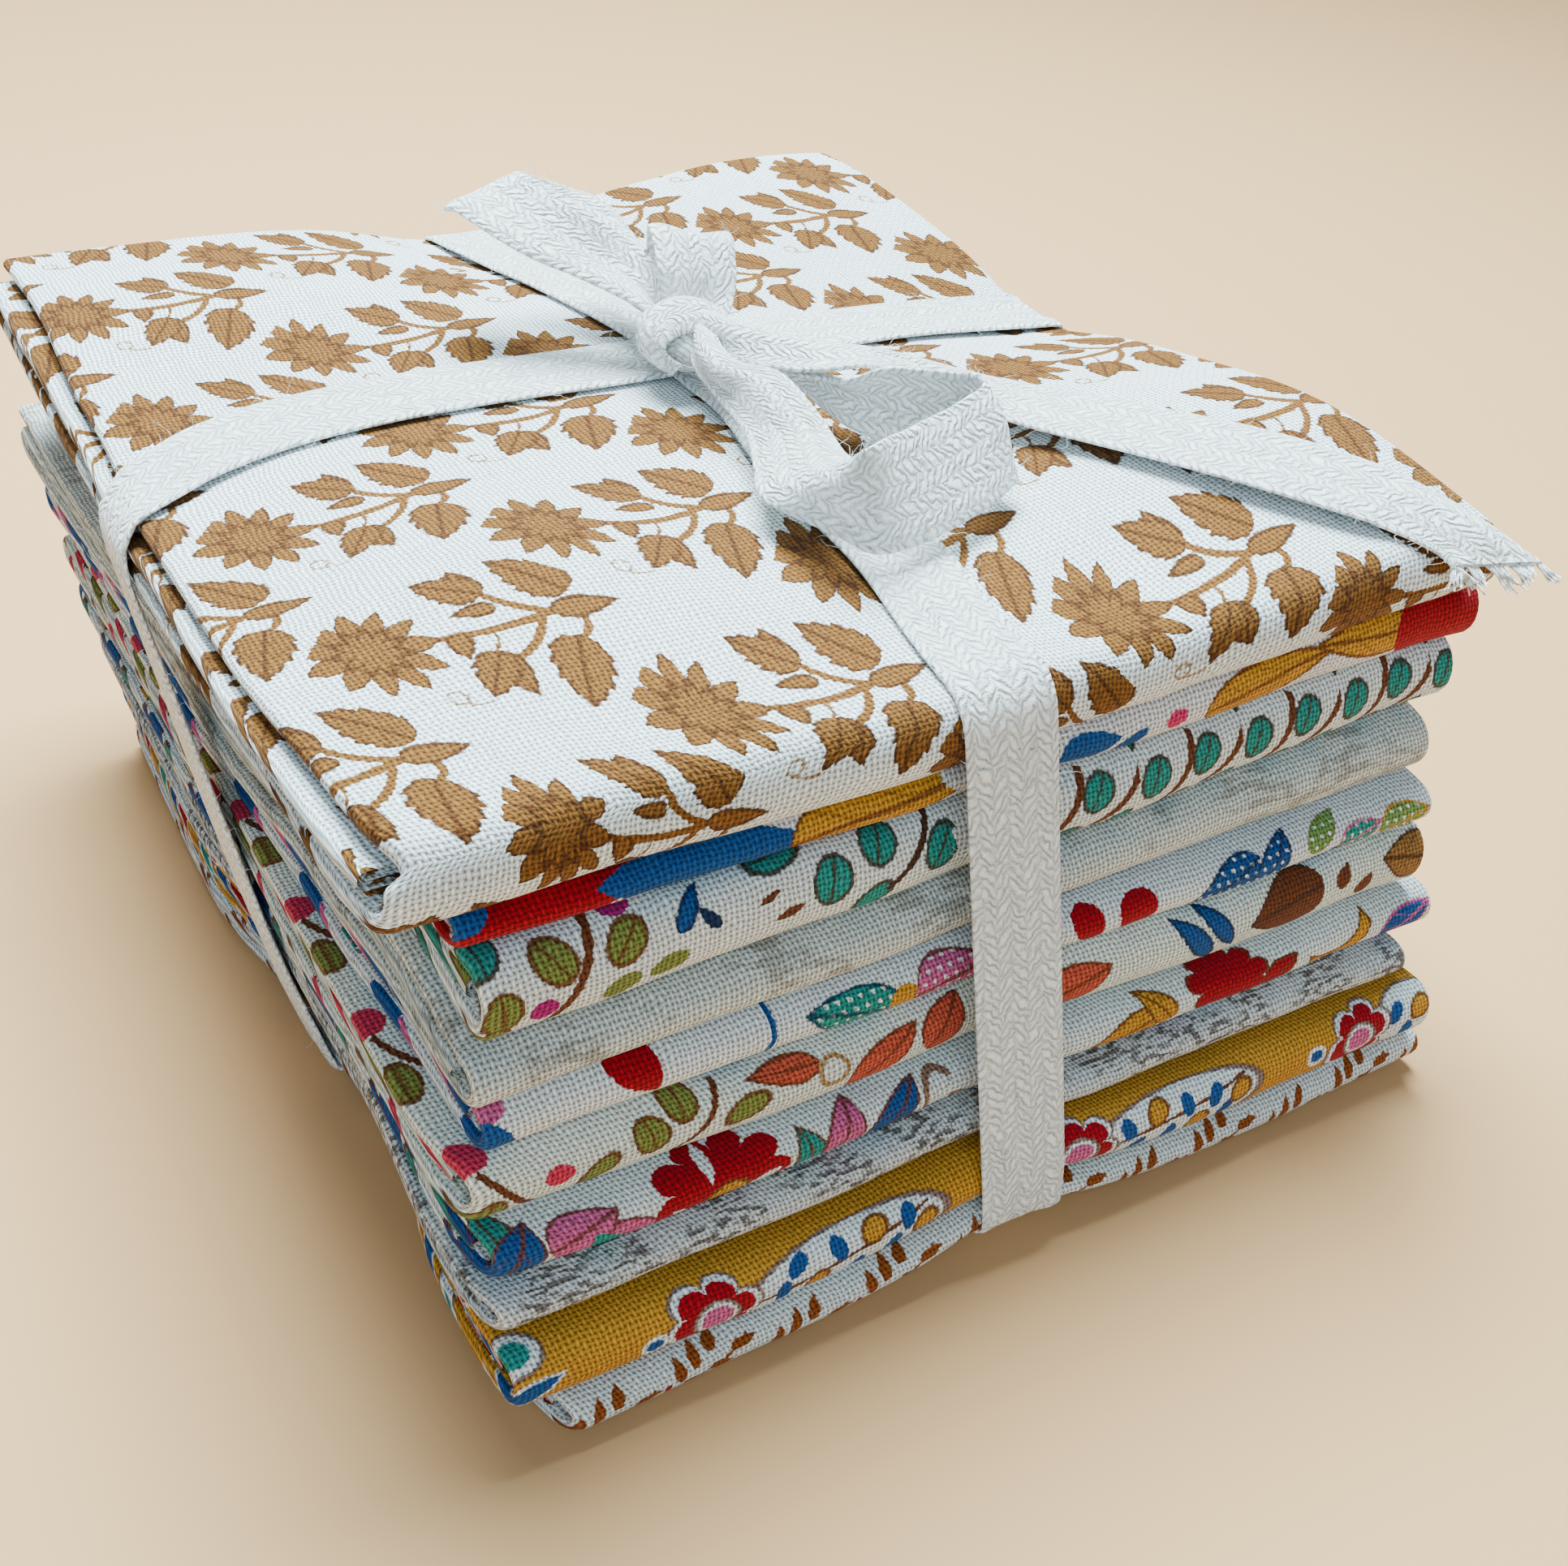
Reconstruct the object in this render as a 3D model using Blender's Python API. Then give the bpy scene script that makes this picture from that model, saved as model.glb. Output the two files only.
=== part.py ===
"""A bundle of ten fat eighths of quilting cotton, folded alike, stacked and tied crosswise with cotton tape.

Every fat eighth is cut 275 by 500 mm. It is folded in six along its length and then in three across, so it
lies 83 mm wide and 92 mm deep, in 18 layers. Here the six-layer pad is one thick sheet, and the pad's letter
fold is modelled: a bottom, a middle and a top layer, a full-height nose at the front, a lower nose at the
back and the raw end above it. The tape goes round the stack both ways and is tied in a bow on top.

Lengths are in millimetres until a mesh is made. X runs to the right along the front, Y to the back, Z up.
The tables give X and Y from the near left corner of the top cloth, and STACK_CENTRE moves them to the frame.
"""
import math

import bmesh
import bpy
from mathutils import Vector

MM = 0.001
STACK_CENTRE = (43.79, 45.19)

# The cloth
CLOTHS = 10
FOLDED_HEIGHT = 4.88
STACK_HEIGHT = CLOTHS * FOLDED_HEIGHT
STACK_WIDTH = 88.0
STACK_DEPTH = 92.0
CLOTH_GAP = 0.45
LAYER_GAP = 0.3
PAD = (FOLDED_HEIGHT - CLOTH_GAP - 2 * LAYER_GAP) / 3
FREE_END_SETBACK = 0.35
RAW_END_SETBACK = 0.4
END_ROUNDING = 0.9
END_THICKNESS = 0.45

# One row for each cloth, from the top one down: its left end at the front corner and at five places along
# its depth, its right end at the front and at the back, its front fold at the left and at the right,
# its back fold at the left and at the right, colour
LEFT_END_PLACES = (8.0, 25.0, 42.0, 60.0, 92.0)
CLOTH_COLUMNS = ("left_corner", "left_ends", "right_front", "right_back",
                 "front_left", "front_right", "back_left", "back_right", "colour")
CLOTH_ROWS = (
    (1.8, (-0.6, -1.4, -1.4, -0.8, 0.2), 88.2, 83.2, 1.8, 2.3, 93.5, 92.3, (0.72, 0.58, 0.42)),
    (4.0, (3.4, 2.8, 2.4, 2.4, 2.6), 90.0, 85.4, 2.8, 3.9, 92.6, 93.0, (0.70, 0.45, 0.16)),
    (5.4, (4.6, 3.3, 2.8, 2.6, 2.8), 89.8, 85.4, 1.4, 4.0, 93.0, 93.4, (0.62, 0.70, 0.62)),
    (4.2, (3.7, 2.5, 1.3, 0.6, -0.3), 87.7, 84.2, 1.0, 2.7, 96.0, 94.6, (0.62, 0.60, 0.56)),
    (4.7, (4.1, 3.2, 2.6, 1.8, 0.4), 87.8, 84.4, 1.3, 0.4, 94.0, 93.4, (0.80, 0.78, 0.78)),
    (4.8, (2.2, 1.8, 1.8, 1.4, 1.0), 88.2, 84.2, 1.1, -0.1, 92.6, 92.0, (0.66, 0.62, 0.48)),
    (5.2, (3.2, 2.9, 2.7, 2.2, 1.9), 90.5, 85.6, -0.4, -1.1, 92.0, 91.2, (0.72, 0.46, 0.44)),
    (4.9, (2.8, 3.9, 3.8, 2.4, 2.6), 87.3, 84.6, -1.7, -2.3, 90.6, 90.4, (0.60, 0.57, 0.54)),
    (4.8, (3.9, 6.0, 4.7, 2.5, 3.7), 89.0, 85.4, -4.4, -4.9, 89.4, 89.2, (0.74, 0.46, 0.10)),
    (9.0, (6.6, 7.2, 5.6, 3.4, 4.4), 89.8, 85.6, -5.2, -4.8, 88.4, 88.8, (0.72, 0.64, 0.56)),
)
CORNER_REACH = 3.0

# The heights at which the cloths meet, from the floor up, along the uneven front folds at the left and right
FRONT_LEVELS_LEFT = (0.0, 3.9, 9.4, 12.8, 17.1, 23.3, 27.7, 31.9, 39.0, 42.1, 48.8)
FRONT_LEVELS_RIGHT = (0.0, 3.6, 9.4, 12.7, 17.0, 23.3, 27.1, 31.9, 37.7, 43.0, 48.8)
LEFT_LEVELS_TO = 20.0
RIGHT_LEVELS_FROM = 85.0
FRONT_LEVELS_FULL_AT = 1.0
FRONT_LEVELS_GONE_AT = 17.0

# What the tie and the loose folds do to the top: centre x and y, reach in x and y, rise
TOP_SWELLS = (
    (84.0, 21.0, 20.0, 18.0, 3.9),
    (76.0, 88.0, 16.0, 15.0, 2.4),
    (14.0, 80.0, 16.0, 14.0, 0.8),
    (18.0, 20.0, 16.0, 14.0, 0.7),
    (85.0, 56.0, 16.0, 9.0, -2.8),
    (42.0, 93.0, 11.0, 16.0, -2.8),
    (-1.0, 48.5, 9.0, 7.0, -0.9),
    (40.0, 0.0, 9.0, 10.0, -0.9),
)

# The front of the lowest cloths curls up off the floor, most of all at the tape
CURL = 0.3
CURL_AT_TAPE = 2.6
CURL_CENTRE_X = 45.0
CURL_REACH_X = 11.0
CURL_FULL_AT = -5.0
CURL_GONE_AT = 8.0

# The tape
TAPE_WIDTH = 7.4
TAPE_THICKNESS = 1.0
TAPE_COLOUR = (0.80, 0.79, 0.75)
TAPE_ROUGHNESS = 0.95
CLOTH_ROUGHNESS = 0.9
TAPE_CLEARANCE = 0.42
TAPE_LIFT = TAPE_CLEARANCE + TAPE_THICKNESS / 2
GROOVE_DEPTH = TAPE_THICKNESS + TAPE_CLEARANCE
GROOVE_FADE = 14
CURL_FADE = 8
GROOVE_FLAT = TAPE_WIDTH / 2 + 0.9
GROOVE_SLOPE = 5.5
CROSSING_OFFSET = 0.06

LONGEST_SPAN = 8.0
SHORTEST_SPAN = 0.3
SHARPEST_TURN = 0.5
SECTION_SHARES = (0, 0.02, 0.1, 0.2, 0.3, 0.4, 0.5, 0.6, 0.7, 0.8, 0.9, 0.98, 1)
SECTION_END_INSET = 0.3

# Where the two wraps of the tape run, over the stack and under it: X at some Y, and Y at some X
FRONT_BACK_TOP = ((-6.0, 42.0), (3.0, 41.9), (10.0, 42.5), (20.0, 44.1), (42.0, 44.6), (50.0, 45.3),
                  (58.6, 47.0), (66.0, 45.9), (79.0, 43.7), (94.0, 42.0))
FRONT_BACK_BELOW = ((-6.0, 46.2), (94.0, 44.0))
LEFT_RIGHT_TOP = ((-1.0, 48.5), (2.0, 50.3), (6.0, 52.4), (13.0, 54.2), (25.0, 55.2), (42.0, 54.8), (60.0, 55.2),
                  (74.0, 56.2), (88.0, 57.0))
LEFT_RIGHT_BELOW = ((-1.0, 38.4), (90.0, 49.0))

KNOT_CENTRE = (43.8, 49.6, 52.6)
KNOT_RADII = (4.3, 4.1, 3.0)
KNOT_TURN = math.radians(-35)
KNOT_SEGMENTS = 14
KNOT_RINGS = 8

# The bow. One row for each section of a ribbon: x, y, z of its left edge, then of its right edge
RIGHT_LOOP = (
    (43.0, 49.0, 53.2, 44.8, 48.0, 53.8),
    (42.6, 47.7, 53.3, 43.6, 45.6, 54.9),
    (41.5, 45.8, 52.9, 42.8, 43.1, 54.9),
    (41.1, 43.2, 52.3, 42.6, 39.8, 55.0),
    (41.1, 40.4, 51.9, 43.8, 36.2, 55.6),
    (40.8, 36.7, 51.8, 43.7, 31.6, 55.2),
    (40.1, 33.8, 51.8, 43.4, 28.1, 54.6),
    (38.2, 29.7, 51.8, 42.2, 24.6, 55.0),
    (36.6, 25.9, 51.7, 41.4, 22.3, 55.6),
    (37.7, 22.4, 51.4, 39.6, 19.3, 57.4),
    (39.1, 19.6, 51.1, 39.2, 18.3, 58.1),
    (40.5, 17.1, 50.9, 40.4, 18.6, 58.3),
    (42.8, 16.7, 50.9, 43.0, 20.5, 57.6),
    (45.7, 17.3, 50.9, 45.1, 21.5, 57.3),
    (49.0, 18.4, 50.9, 47.8, 22.9, 57.0),
    (52.0, 19.5, 51.0, 50.6, 24.0, 56.9),
    (54.3, 20.5, 51.3, 53.0, 24.9, 57.1),
    (55.7, 21.2, 51.5, 54.4, 25.3, 57.3),
    (56.4, 22.4, 51.4, 55.1, 26.0, 57.5),
    (56.2, 23.8, 51.2, 54.9, 27.0, 57.6),
    (55.2, 26.2, 50.9, 53.8, 28.0, 57.5),
    (53.5, 28.8, 50.8, 51.9, 29.6, 57.4),
    (51.5, 31.6, 50.8, 50.2, 31.6, 57.0),
    (50.2, 34.6, 50.9, 48.6, 33.8, 55.5),
    (49.9, 38.4, 51.2, 47.9, 36.6, 54.6),
    (49.2, 41.6, 51.9, 47.1, 39.6, 53.9),
    (46.8, 43.6, 52.4, 45.3, 42.6, 53.8),
    (45.0, 46.5, 52.6, 44.4, 45.6, 53.8),
)
LEFT_LOOP = (
    (43.2, 49.6, 53.2, 44.8, 52.0, 53.8),
    (41.9, 51.9, 53.6, 43.9, 54.6, 54.4),
    (40.6, 53.1, 54.2, 44.4, 55.8, 55.2),
    (38.8, 55.0, 55.0, 43.7, 57.9, 56.4),
    (36.7, 56.8, 56.0, 42.4, 59.8, 57.6),
    (34.3, 58.5, 57.0, 40.5, 61.0, 59.0),
    (32.4, 60.5, 58.0, 38.8, 62.7, 60.2),
    (31.1, 62.7, 58.8, 37.7, 64.8, 60.8),
    (30.1, 65.0, 59.3, 36.9, 66.4, 61.0),
    (30.2, 66.6, 58.8, 37.3, 67.9, 60.7),
    (32.2, 68.1, 57.8, 39.1, 68.9, 59.9),
    (36.1, 67.0, 56.3, 42.5, 68.8, 58.7),
    (38.9, 64.9, 55.2, 44.9, 66.9, 57.9),
    (40.8, 61.4, 54.3, 46.0, 64.4, 56.3),
    (42.0, 58.1, 53.6, 46.4, 61.2, 55.0),
    (42.9, 54.6, 53.1, 46.0, 57.2, 53.9),
    (43.8, 51.6, 52.6, 46.2, 53.4, 53.2),
)
LONG_END = (
    (43.6, 47.2, 53.8, 44.8, 49.4, 55.2),
    (43.4, 44.0, 54.2, 45.0, 46.8, 55.7),
    (43.9, 41.0, 54.7, 46.3, 44.6, 55.4),
    (45.6, 37.9, 55.3, 48.7, 42.5, 55.0),
    (47.2, 35.0, 56.1, 51.0, 40.2, 55.0),
    (49.8, 33.6, 56.5, 53.9, 38.9, 54.6),
    (53.0, 33.2, 55.4, 57.1, 38.6, 53.7),
    (56.4, 32.5, 53.6, 60.8, 38.0, 52.7),
    (59.6, 31.0, 51.9, 64.6, 36.4, 51.7),
    (62.4, 28.6, 51.2, 68.0, 33.6, 51.4),
    (64.6, 25.1, 51.3, 71.0, 29.0, 52.0),
    (66.9, 20.5, 51.7, 73.3, 24.2, 52.6),
    (69.4, 15.6, 52.0, 75.9, 19.5, 53.1),
    (72.1, 11.2, 52.0, 78.6, 15.4, 53.1),
    (75.2, 7.4, 51.6, 81.4, 11.6, 52.7),
    (78.4, 4.4, 50.9, 84.2, 8.2, 51.9),
    (79.8, 3.0, 50.4, 85.9, 4.6, 51.1),
    (80.4, 2.2, 49.9, 87.3, 2.0, 50.0),
    (80.7, 1.5, 49.2, 88.3, -0.2, 48.7),
)
SHORT_END = (
    (42.6, 50.4, 52.8, 46.0, 48.6, 52.6),
    (42.5, 51.6, 53.4, 46.7, 49.6, 52.9),
    (42.6, 52.6, 55.0, 48.3, 51.3, 53.9),
    (42.5, 53.1, 57.0, 49.4, 52.6, 55.8),
    (42.7, 54.0, 58.1, 49.8, 53.6, 57.0),
    (43.1, 55.5, 59.1, 50.2, 54.6, 58.0),
    (43.5, 56.8, 59.2, 50.5, 55.9, 58.1),
    (44.0, 57.7, 58.2, 50.9, 56.9, 57.2),
    (44.4, 58.3, 56.1, 51.2, 57.6, 55.1),
)
STEPS_BETWEEN_SECTIONS = 2

# How finely the cloths are divided: places along the width and along the depth
ACROSS = (12.0, 24.0, 36.0, 47.0, 58.0, 69.0, 79.0)
ALONG = (11.0, 24.0, 38.0, 50.5, 60.0, 70.0, 82.0)
ACROSS_OUTSIDE_GROOVE = ((12.0, 24.0), (68.0, 79.0))
ALONG_OUTSIDE_GROOVE = ((11.0, 22.0), (70.0, 82.0))
GROOVE_STEPS = (-10.1, -4.6, 4.6, 10.1)
CLOTHS_OVER_TAPE = 2
CLEAR_OF_FOLD = 3.0
NOSE_STEPS = 6
TURN_STEPS = 3


def smooth_step(low, high, value):
    """0 below low, 1 above high and a smooth rise between them."""
    share = min(1.0, max(0.0, (value - low) / (high - low)))
    return share * share * (3 - 2 * share)


def blend(low, high, share):
    return low + (high - low) * share


def along_table(table, place):
    """The second column at a place in the first, smoothly through the rows and even before and after them."""
    if place < table[0][0]:
        return table[0][1]
    for (start, value), (end, next_value) in zip(table, table[1:]):
        if place <= end:
            return blend(value, next_value, smooth_step(start, end, place))
    return table[-1][1]


def cloth_row(index):
    return dict(zip(CLOTH_COLUMNS, CLOTH_ROWS[index]))


def front_of(row, x):
    return blend(row["front_left"], row["front_right"], x / STACK_WIDTH)


def back_of(row, x):
    return blend(row["back_left"], row["back_right"], x / STACK_WIDTH)


def left_of(row, y):
    ends = row["left_ends"]
    pulled_in = (row["left_corner"] - ends[0]) * math.exp(-(y - row["front_left"]) / CORNER_REACH)
    return along_table(tuple(zip(LEFT_END_PLACES, ends)), y) + pulled_in


def right_of(row, y):
    return blend(row["right_front"], row["right_back"], y / STACK_DEPTH)


def groove_share(x, y):
    """1 over the tape under the bundle and 0 a little away from it."""
    from_front_back = abs(x - along_table(FRONT_BACK_BELOW, y))
    from_left_right = abs(y - along_table(LEFT_RIGHT_BELOW, x))
    nearest = min(from_front_back, from_left_right)
    return 1 - smooth_step(GROOVE_FLAT, GROOVE_FLAT + GROOVE_SLOPE, nearest)


def top_swell(x, y):
    """How far the top of the stack lies above its even height."""
    total = 0.0
    for centre_x, centre_y, reach_x, reach_y, rise in TOP_SWELLS:
        total += rise * math.exp(-((x - centre_x) / reach_x) ** 2 - ((y - centre_y) / reach_y) ** 2)
    return total


def height(x, y, level):
    """The height of a level of the stack, counted in cloths from the floor."""
    lower = min(CLOTHS - 1, max(0, math.floor(level)))
    share = level - lower
    even = level * FOLDED_HEIGHT
    left = blend(FRONT_LEVELS_LEFT[lower], FRONT_LEVELS_LEFT[lower + 1], share)
    right = blend(FRONT_LEVELS_RIGHT[lower], FRONT_LEVELS_RIGHT[lower + 1], share)
    front = blend(left, right, smooth_step(LEFT_LEVELS_TO, RIGHT_LEVELS_FROM, x))
    at_front = 1 - smooth_step(FRONT_LEVELS_FULL_AT, FRONT_LEVELS_GONE_AT, y)
    z = blend(even, front, at_front)
    up = z / STACK_HEIGHT
    curl = CURL + CURL_AT_TAPE * math.exp(-((x - CURL_CENTRE_X) / CURL_REACH_X) ** 2)
    curl *= 1 - smooth_step(CURL_FULL_AT, CURL_GONE_AT, y)
    groove = GROOVE_DEPTH * groove_share(x, y)
    lift = max(curl * (1 - up) ** CURL_FADE, groove * (1 - up) ** GROOVE_FADE)
    return z + top_swell(x, y) * up ** 2 + lift


def turn(centre_y, centre_h, radius, start, end, steps):
    """Points on a fold's arc, its ends left out, each with its normal."""
    points = []
    for step in range(1, steps):
        angle = math.radians(blend(start, end, step / steps))
        normal = (math.cos(angle), math.sin(angle))
        points.append((centre_y + radius * normal[0], centre_h + radius * normal[1], normal))
    return points


def letter_fold(front, back, along):
    """The middle line of the folded pad from its inner end to its outer end: y, height in the fold, normal."""
    low, middle, high = PAD / 2, PAD * 1.5 + LAYER_GAP, PAD * 2.5 + 2 * LAYER_GAP
    nose = (high - low) / 2
    nose_y = front + nose + PAD / 2
    turn_y = back - (middle - low) / 2 - PAD / 2
    stations = [nose_y] + [y for y in along if nose_y + CLEAR_OF_FOLD < y < turn_y - CLEAR_OF_FOLD] + [turn_y]
    line = [(y, middle, (0, -1)) for y in [nose_y + FREE_END_SETBACK] + stations[1:]]
    line += turn(turn_y, (low + middle) / 2, (middle - low) / 2, 90, -90, TURN_STEPS)
    line = line[:len(stations)] + [(y, h, (-n[0], -n[1])) for y, h, n in line[len(stations):]]
    line += [(y, low, (0, 1)) for y in reversed(stations)]
    arc = turn(nose_y, (low + high) / 2, nose, -90, -270, NOSE_STEPS)
    line += [(y, h, (-n[0], -n[1])) for y, h, n in arc]
    line += [(y, high, (0, -1)) for y in stations[:-1] + [back - RAW_END_SETBACK]]
    return line


def fold_ring(row, x, thickness, along):
    """The closed section of a folded cloth at X, its layers at a share of their thickness: y, height in it."""
    line = letter_fold(front_of(row, x), back_of(row, x), along)
    half = PAD / 2 * thickness
    inner = [(y + normal[0] * half, h + normal[1] * half) for y, h, normal in line]
    outer = [(y - normal[0] * half, h - normal[1] * half) for y, h, normal in line]
    return inner + outer[::-1]


def height_in_cloth(x, y, base, in_fold):
    """The height of a point of the cloth that lies on the level base, from its height in the flat fold."""
    low = height(x, y, base)
    high = height(x, y, base + 1) - CLOTH_GAP
    return blend(low, high, in_fold / (FOLDED_HEIGHT - CLOTH_GAP))


def loft(name, rings, closed=False):
    """A closed body through rings of equal size, or an endless band when closed.

    The first half of a ring runs along one face of a layer and the second half comes back along the other,
    so an open end is filled with a strip between the halves.
    """
    mesh = bpy.data.meshes.new(name)
    shape = bmesh.new()
    rows = [[shape.verts.new(Vector(point)) for point in ring] for ring in rings]
    size = len(rings[0])
    pairs = list(zip(rows, rows[1:]))
    if closed:
        pairs.append((rows[-1], rows[0]))
    for near, far in pairs:
        for i in range(size):
            j = (i + 1) % size
            shape.faces.new((near[i], near[j], far[j], far[i]))
    if not closed:
        for row in (rows[0], rows[-1]):
            for i in range(size // 2 - 1):
                shape.faces.new((row[i], row[i + 1], row[size - 2 - i], row[size - 1 - i]))
    bmesh.ops.triangulate(shape, faces=shape.faces[:])
    bmesh.ops.recalc_face_normals(shape, faces=shape.faces[:])
    shape.to_mesh(mesh)
    shape.free()
    return mesh


def placed(x, y, z):
    """A point of the tables in the part's frame, in metres."""
    return ((x - STACK_CENTRE[0]) * MM, (y - STACK_CENTRE[1]) * MM, z * MM)


def make_material(name, colour, roughness):
    material = bpy.data.materials.new(name)
    material.use_nodes = True
    shader = material.node_tree.nodes["Principled BSDF"]
    shader.inputs["Base Color"].default_value = (*colour, 1)
    shader.inputs["Roughness"].default_value = roughness
    shader.inputs["Metallic"].default_value = 0
    return material


def add_object(name, mesh, colour, roughness, collection):
    item = bpy.data.objects.new(name, mesh)
    mesh.materials.append(make_material(name, colour, roughness))
    collection.objects.link(item)
    return item


def across_places(base, y):
    """Where the cloth on a level is divided along its width, at some Y."""
    if base >= CLOTHS_OVER_TAPE:
        return list(ACROSS)
    before, after = ACROSS_OUTSIDE_GROOVE
    return [*before, *(front_back_x(y, 0) + step for step in GROOVE_STEPS), *after]


def along_places(base, x):
    """Where the cloth on a level is divided along its depth, at some X."""
    if base >= CLOTHS_OVER_TAPE:
        return list(ALONG)
    before, after = ALONG_OUTSIDE_GROOVE
    return [*before, *(left_right_y(x, 0) + step for step in GROOVE_STEPS), *after]


def make_cloth(index, collection):
    """One fat eighth in its place in the stack; index 0 is the top one."""
    row = cloth_row(index)
    base = CLOTHS - 1 - index
    middle_y = blend(row["front_left"], row["back_left"], 0.5)
    middle_xs = [row["left_corner"], *across_places(base, middle_y), row["right_front"]]
    middle_xs = [middle_xs[0], *middle_xs, middle_xs[-1]]
    rings = []
    for station, middle_x in enumerate(middle_xs):
        at_end = station in (0, len(middle_xs) - 1)
        ring = []
        thickness = END_THICKNESS if at_end else 1.0
        for y, in_fold in fold_ring(row, middle_x, thickness, along_places(base, middle_x)):
            left, right = left_of(row, y), right_of(row, y)
            xs = [left, left + END_ROUNDING, *across_places(base, y), right - END_ROUNDING, right]
            ring.append(placed(xs[station], y, height_in_cloth(xs[station], y, base, in_fold)))
        rings.append(ring)
    name = f"cloth_{index + 1:02d}"
    return add_object(name, loft(name, rings), row["colour"], CLOTH_ROUGHNESS, collection)


def taut_outline(points):
    """The convex outline of some (along, height) points, going round from the lowest left one."""
    points = sorted(set(points))

    def half(order):
        chain = []
        for point in order:
            while len(chain) > 1:
                (a0, z0), (a1, z1) = chain[-2], chain[-1]
                if (a1 - a0) * (point[1] - z0) > (z1 - z0) * (point[0] - a0):
                    break
                chain.pop()
            chain.append(point)
        return chain[:-1]

    return half(points) + half(points[::-1])


def spaced(points):
    """The closed outline without its shortest spans and with its long ones divided."""
    kept = [points[0]]
    for point in points[1:]:
        if math.dist(point, kept[-1]) > SHORTEST_SPAN and math.dist(point, points[0]) > SHORTEST_SPAN:
            kept.append(point)
    dense = []
    for start, end in zip(kept, kept[1:] + kept[:1]):
        steps = math.ceil(math.dist(start, end) / LONGEST_SPAN)
        dense += [tuple(blend(a, b, step / steps) for a, b in zip(start, end)) for step in range(steps)]
    return dense


def set_out(points, distance):
    """The closed outline moved outward by a distance."""
    moved = []
    for i, (along, z) in enumerate(points):
        before = Vector(points[i - 1])
        after = Vector(points[(i + 1) % len(points)])
        here = Vector((along, z))
        first, second = (here - before).normalized(), (after - here).normalized()
        outward = Vector((first.y + second.y, -first.x - second.x)).normalized()
        reach = distance / max(SHARPEST_TURN, outward.dot(Vector((first.y, -first.x))))
        moved.append((along + outward.x * reach, z + outward.y * reach))
    return moved


def front_back_x(y, z):
    share = min(1.0, max(0.0, z / STACK_HEIGHT))
    return blend(along_table(FRONT_BACK_BELOW, y), along_table(FRONT_BACK_TOP, y), share)


def left_right_y(x, z):
    share = min(1.0, max(0.0, z / STACK_HEIGHT))
    return blend(along_table(LEFT_RIGHT_BELOW, x), along_table(LEFT_RIGHT_TOP, x), share)


def front_back_section():
    """The points (y, z) of the stack under the wrap that runs front to back."""
    points = []
    for index in range(CLOTHS):
        row, base = cloth_row(index), CLOTHS - 1 - index
        for offset in (-TAPE_WIDTH / 2, 0, TAPE_WIDTH / 2):
            x = front_back_x(0, base * FOLDED_HEIGHT) + offset
            for y, in_fold in fold_ring(row, x, 1.0, along_places(0, x)):
                x = front_back_x(y, (base + 0.5) * FOLDED_HEIGHT) + offset
                points.append((y, height_in_cloth(x, y, base, in_fold)))
    return points


def left_right_section():
    """The points (x, z) of the stack under the wrap that runs left to right."""
    points = []
    for index in range(CLOTHS):
        row, base = cloth_row(index), CLOTHS - 1 - index
        for offset in (-TAPE_WIDTH / 2, 0, TAPE_WIDTH / 2):
            for share in SECTION_SHARES:
                x = blend(row["left_corner"], row["right_back"], share)
                y = left_right_y(x, (base + 0.5) * FOLDED_HEIGHT) + offset
                x = blend(left_of(row, y), right_of(row, y), share)
                inset = SECTION_END_INSET if share in (0, 1) else 0
                points.append((x, height_in_cloth(x, y, base, inset)))
                points.append((x, height_in_cloth(x, y, base, FOLDED_HEIGHT - CLOTH_GAP - inset)))
    return points


def wrap_rings(points, across):
    """The rings of the flat tape on a closed path, its width across the path and roughly along across."""
    rings = []
    for i, point in enumerate(points):
        centre = Vector(point)
        tangent = Vector(points[(i + 1) % len(points)]) - Vector(points[i - 1])
        out = tangent.cross(Vector(across)).normalized() * (TAPE_THICKNESS / 2)
        side = out.cross(tangent).normalized() * (TAPE_WIDTH / 2)
        corners = (centre - side - out, centre + side - out, centre + side + out, centre - side + out)
        rings.append([placed(*corner) for corner in corners])
    return rings


def front_back_wrap():
    outline = spaced(set_out(taut_outline(front_back_section()), TAPE_LIFT))
    return wrap_rings([(front_back_x(y, z), y, z) for y, z in outline], (1, 0, 0))


def left_right_wrap():
    outline = spaced(set_out(taut_outline(left_right_section()), TAPE_LIFT))
    return wrap_rings([(x, left_right_y(x, z), z + CROSSING_OFFSET) for x, z in outline], (0, 1, 0))


def smooth_rows(table):
    """The ribbon's sections with more between them, on a smooth curve through them."""
    rows = [tuple(row) for row in table]
    ends = [rows[0]] + rows + [rows[-1]]
    dense = []
    for before, start, end, after in zip(ends, ends[1:], ends[2:], ends[3:]):
        for step in range(STEPS_BETWEEN_SECTIONS):
            t = step / STEPS_BETWEEN_SECTIONS
            dense.append(tuple(
                0.5 * (2 * b + (c - a) * t + (2 * a - 5 * b + 4 * c - d) * t * t
                       + (3 * b - a - 3 * c + d) * t ** 3)
                for a, b, c, d in zip(before, start, end, after)))
    dense.append(rows[-1])
    return dense


def ribbon_rings(table):
    """The rings of a ribbon through a table of its two edges."""
    rows = smooth_rows(table)
    edges = [(Vector(row[:3]), Vector(row[3:])) for row in rows]
    rings = []
    for i, (left, right) in enumerate(edges):
        before = edges[max(0, i - 1)]
        after = edges[min(len(edges) - 1, i + 1)]
        tangent = (after[0] + after[1]) - (before[0] + before[1])
        out = (right - left).cross(tangent).normalized() * (TAPE_THICKNESS / 2)
        rings.append([placed(*corner) for corner in (left - out, right - out, right + out, left + out)])
    return rings


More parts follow.
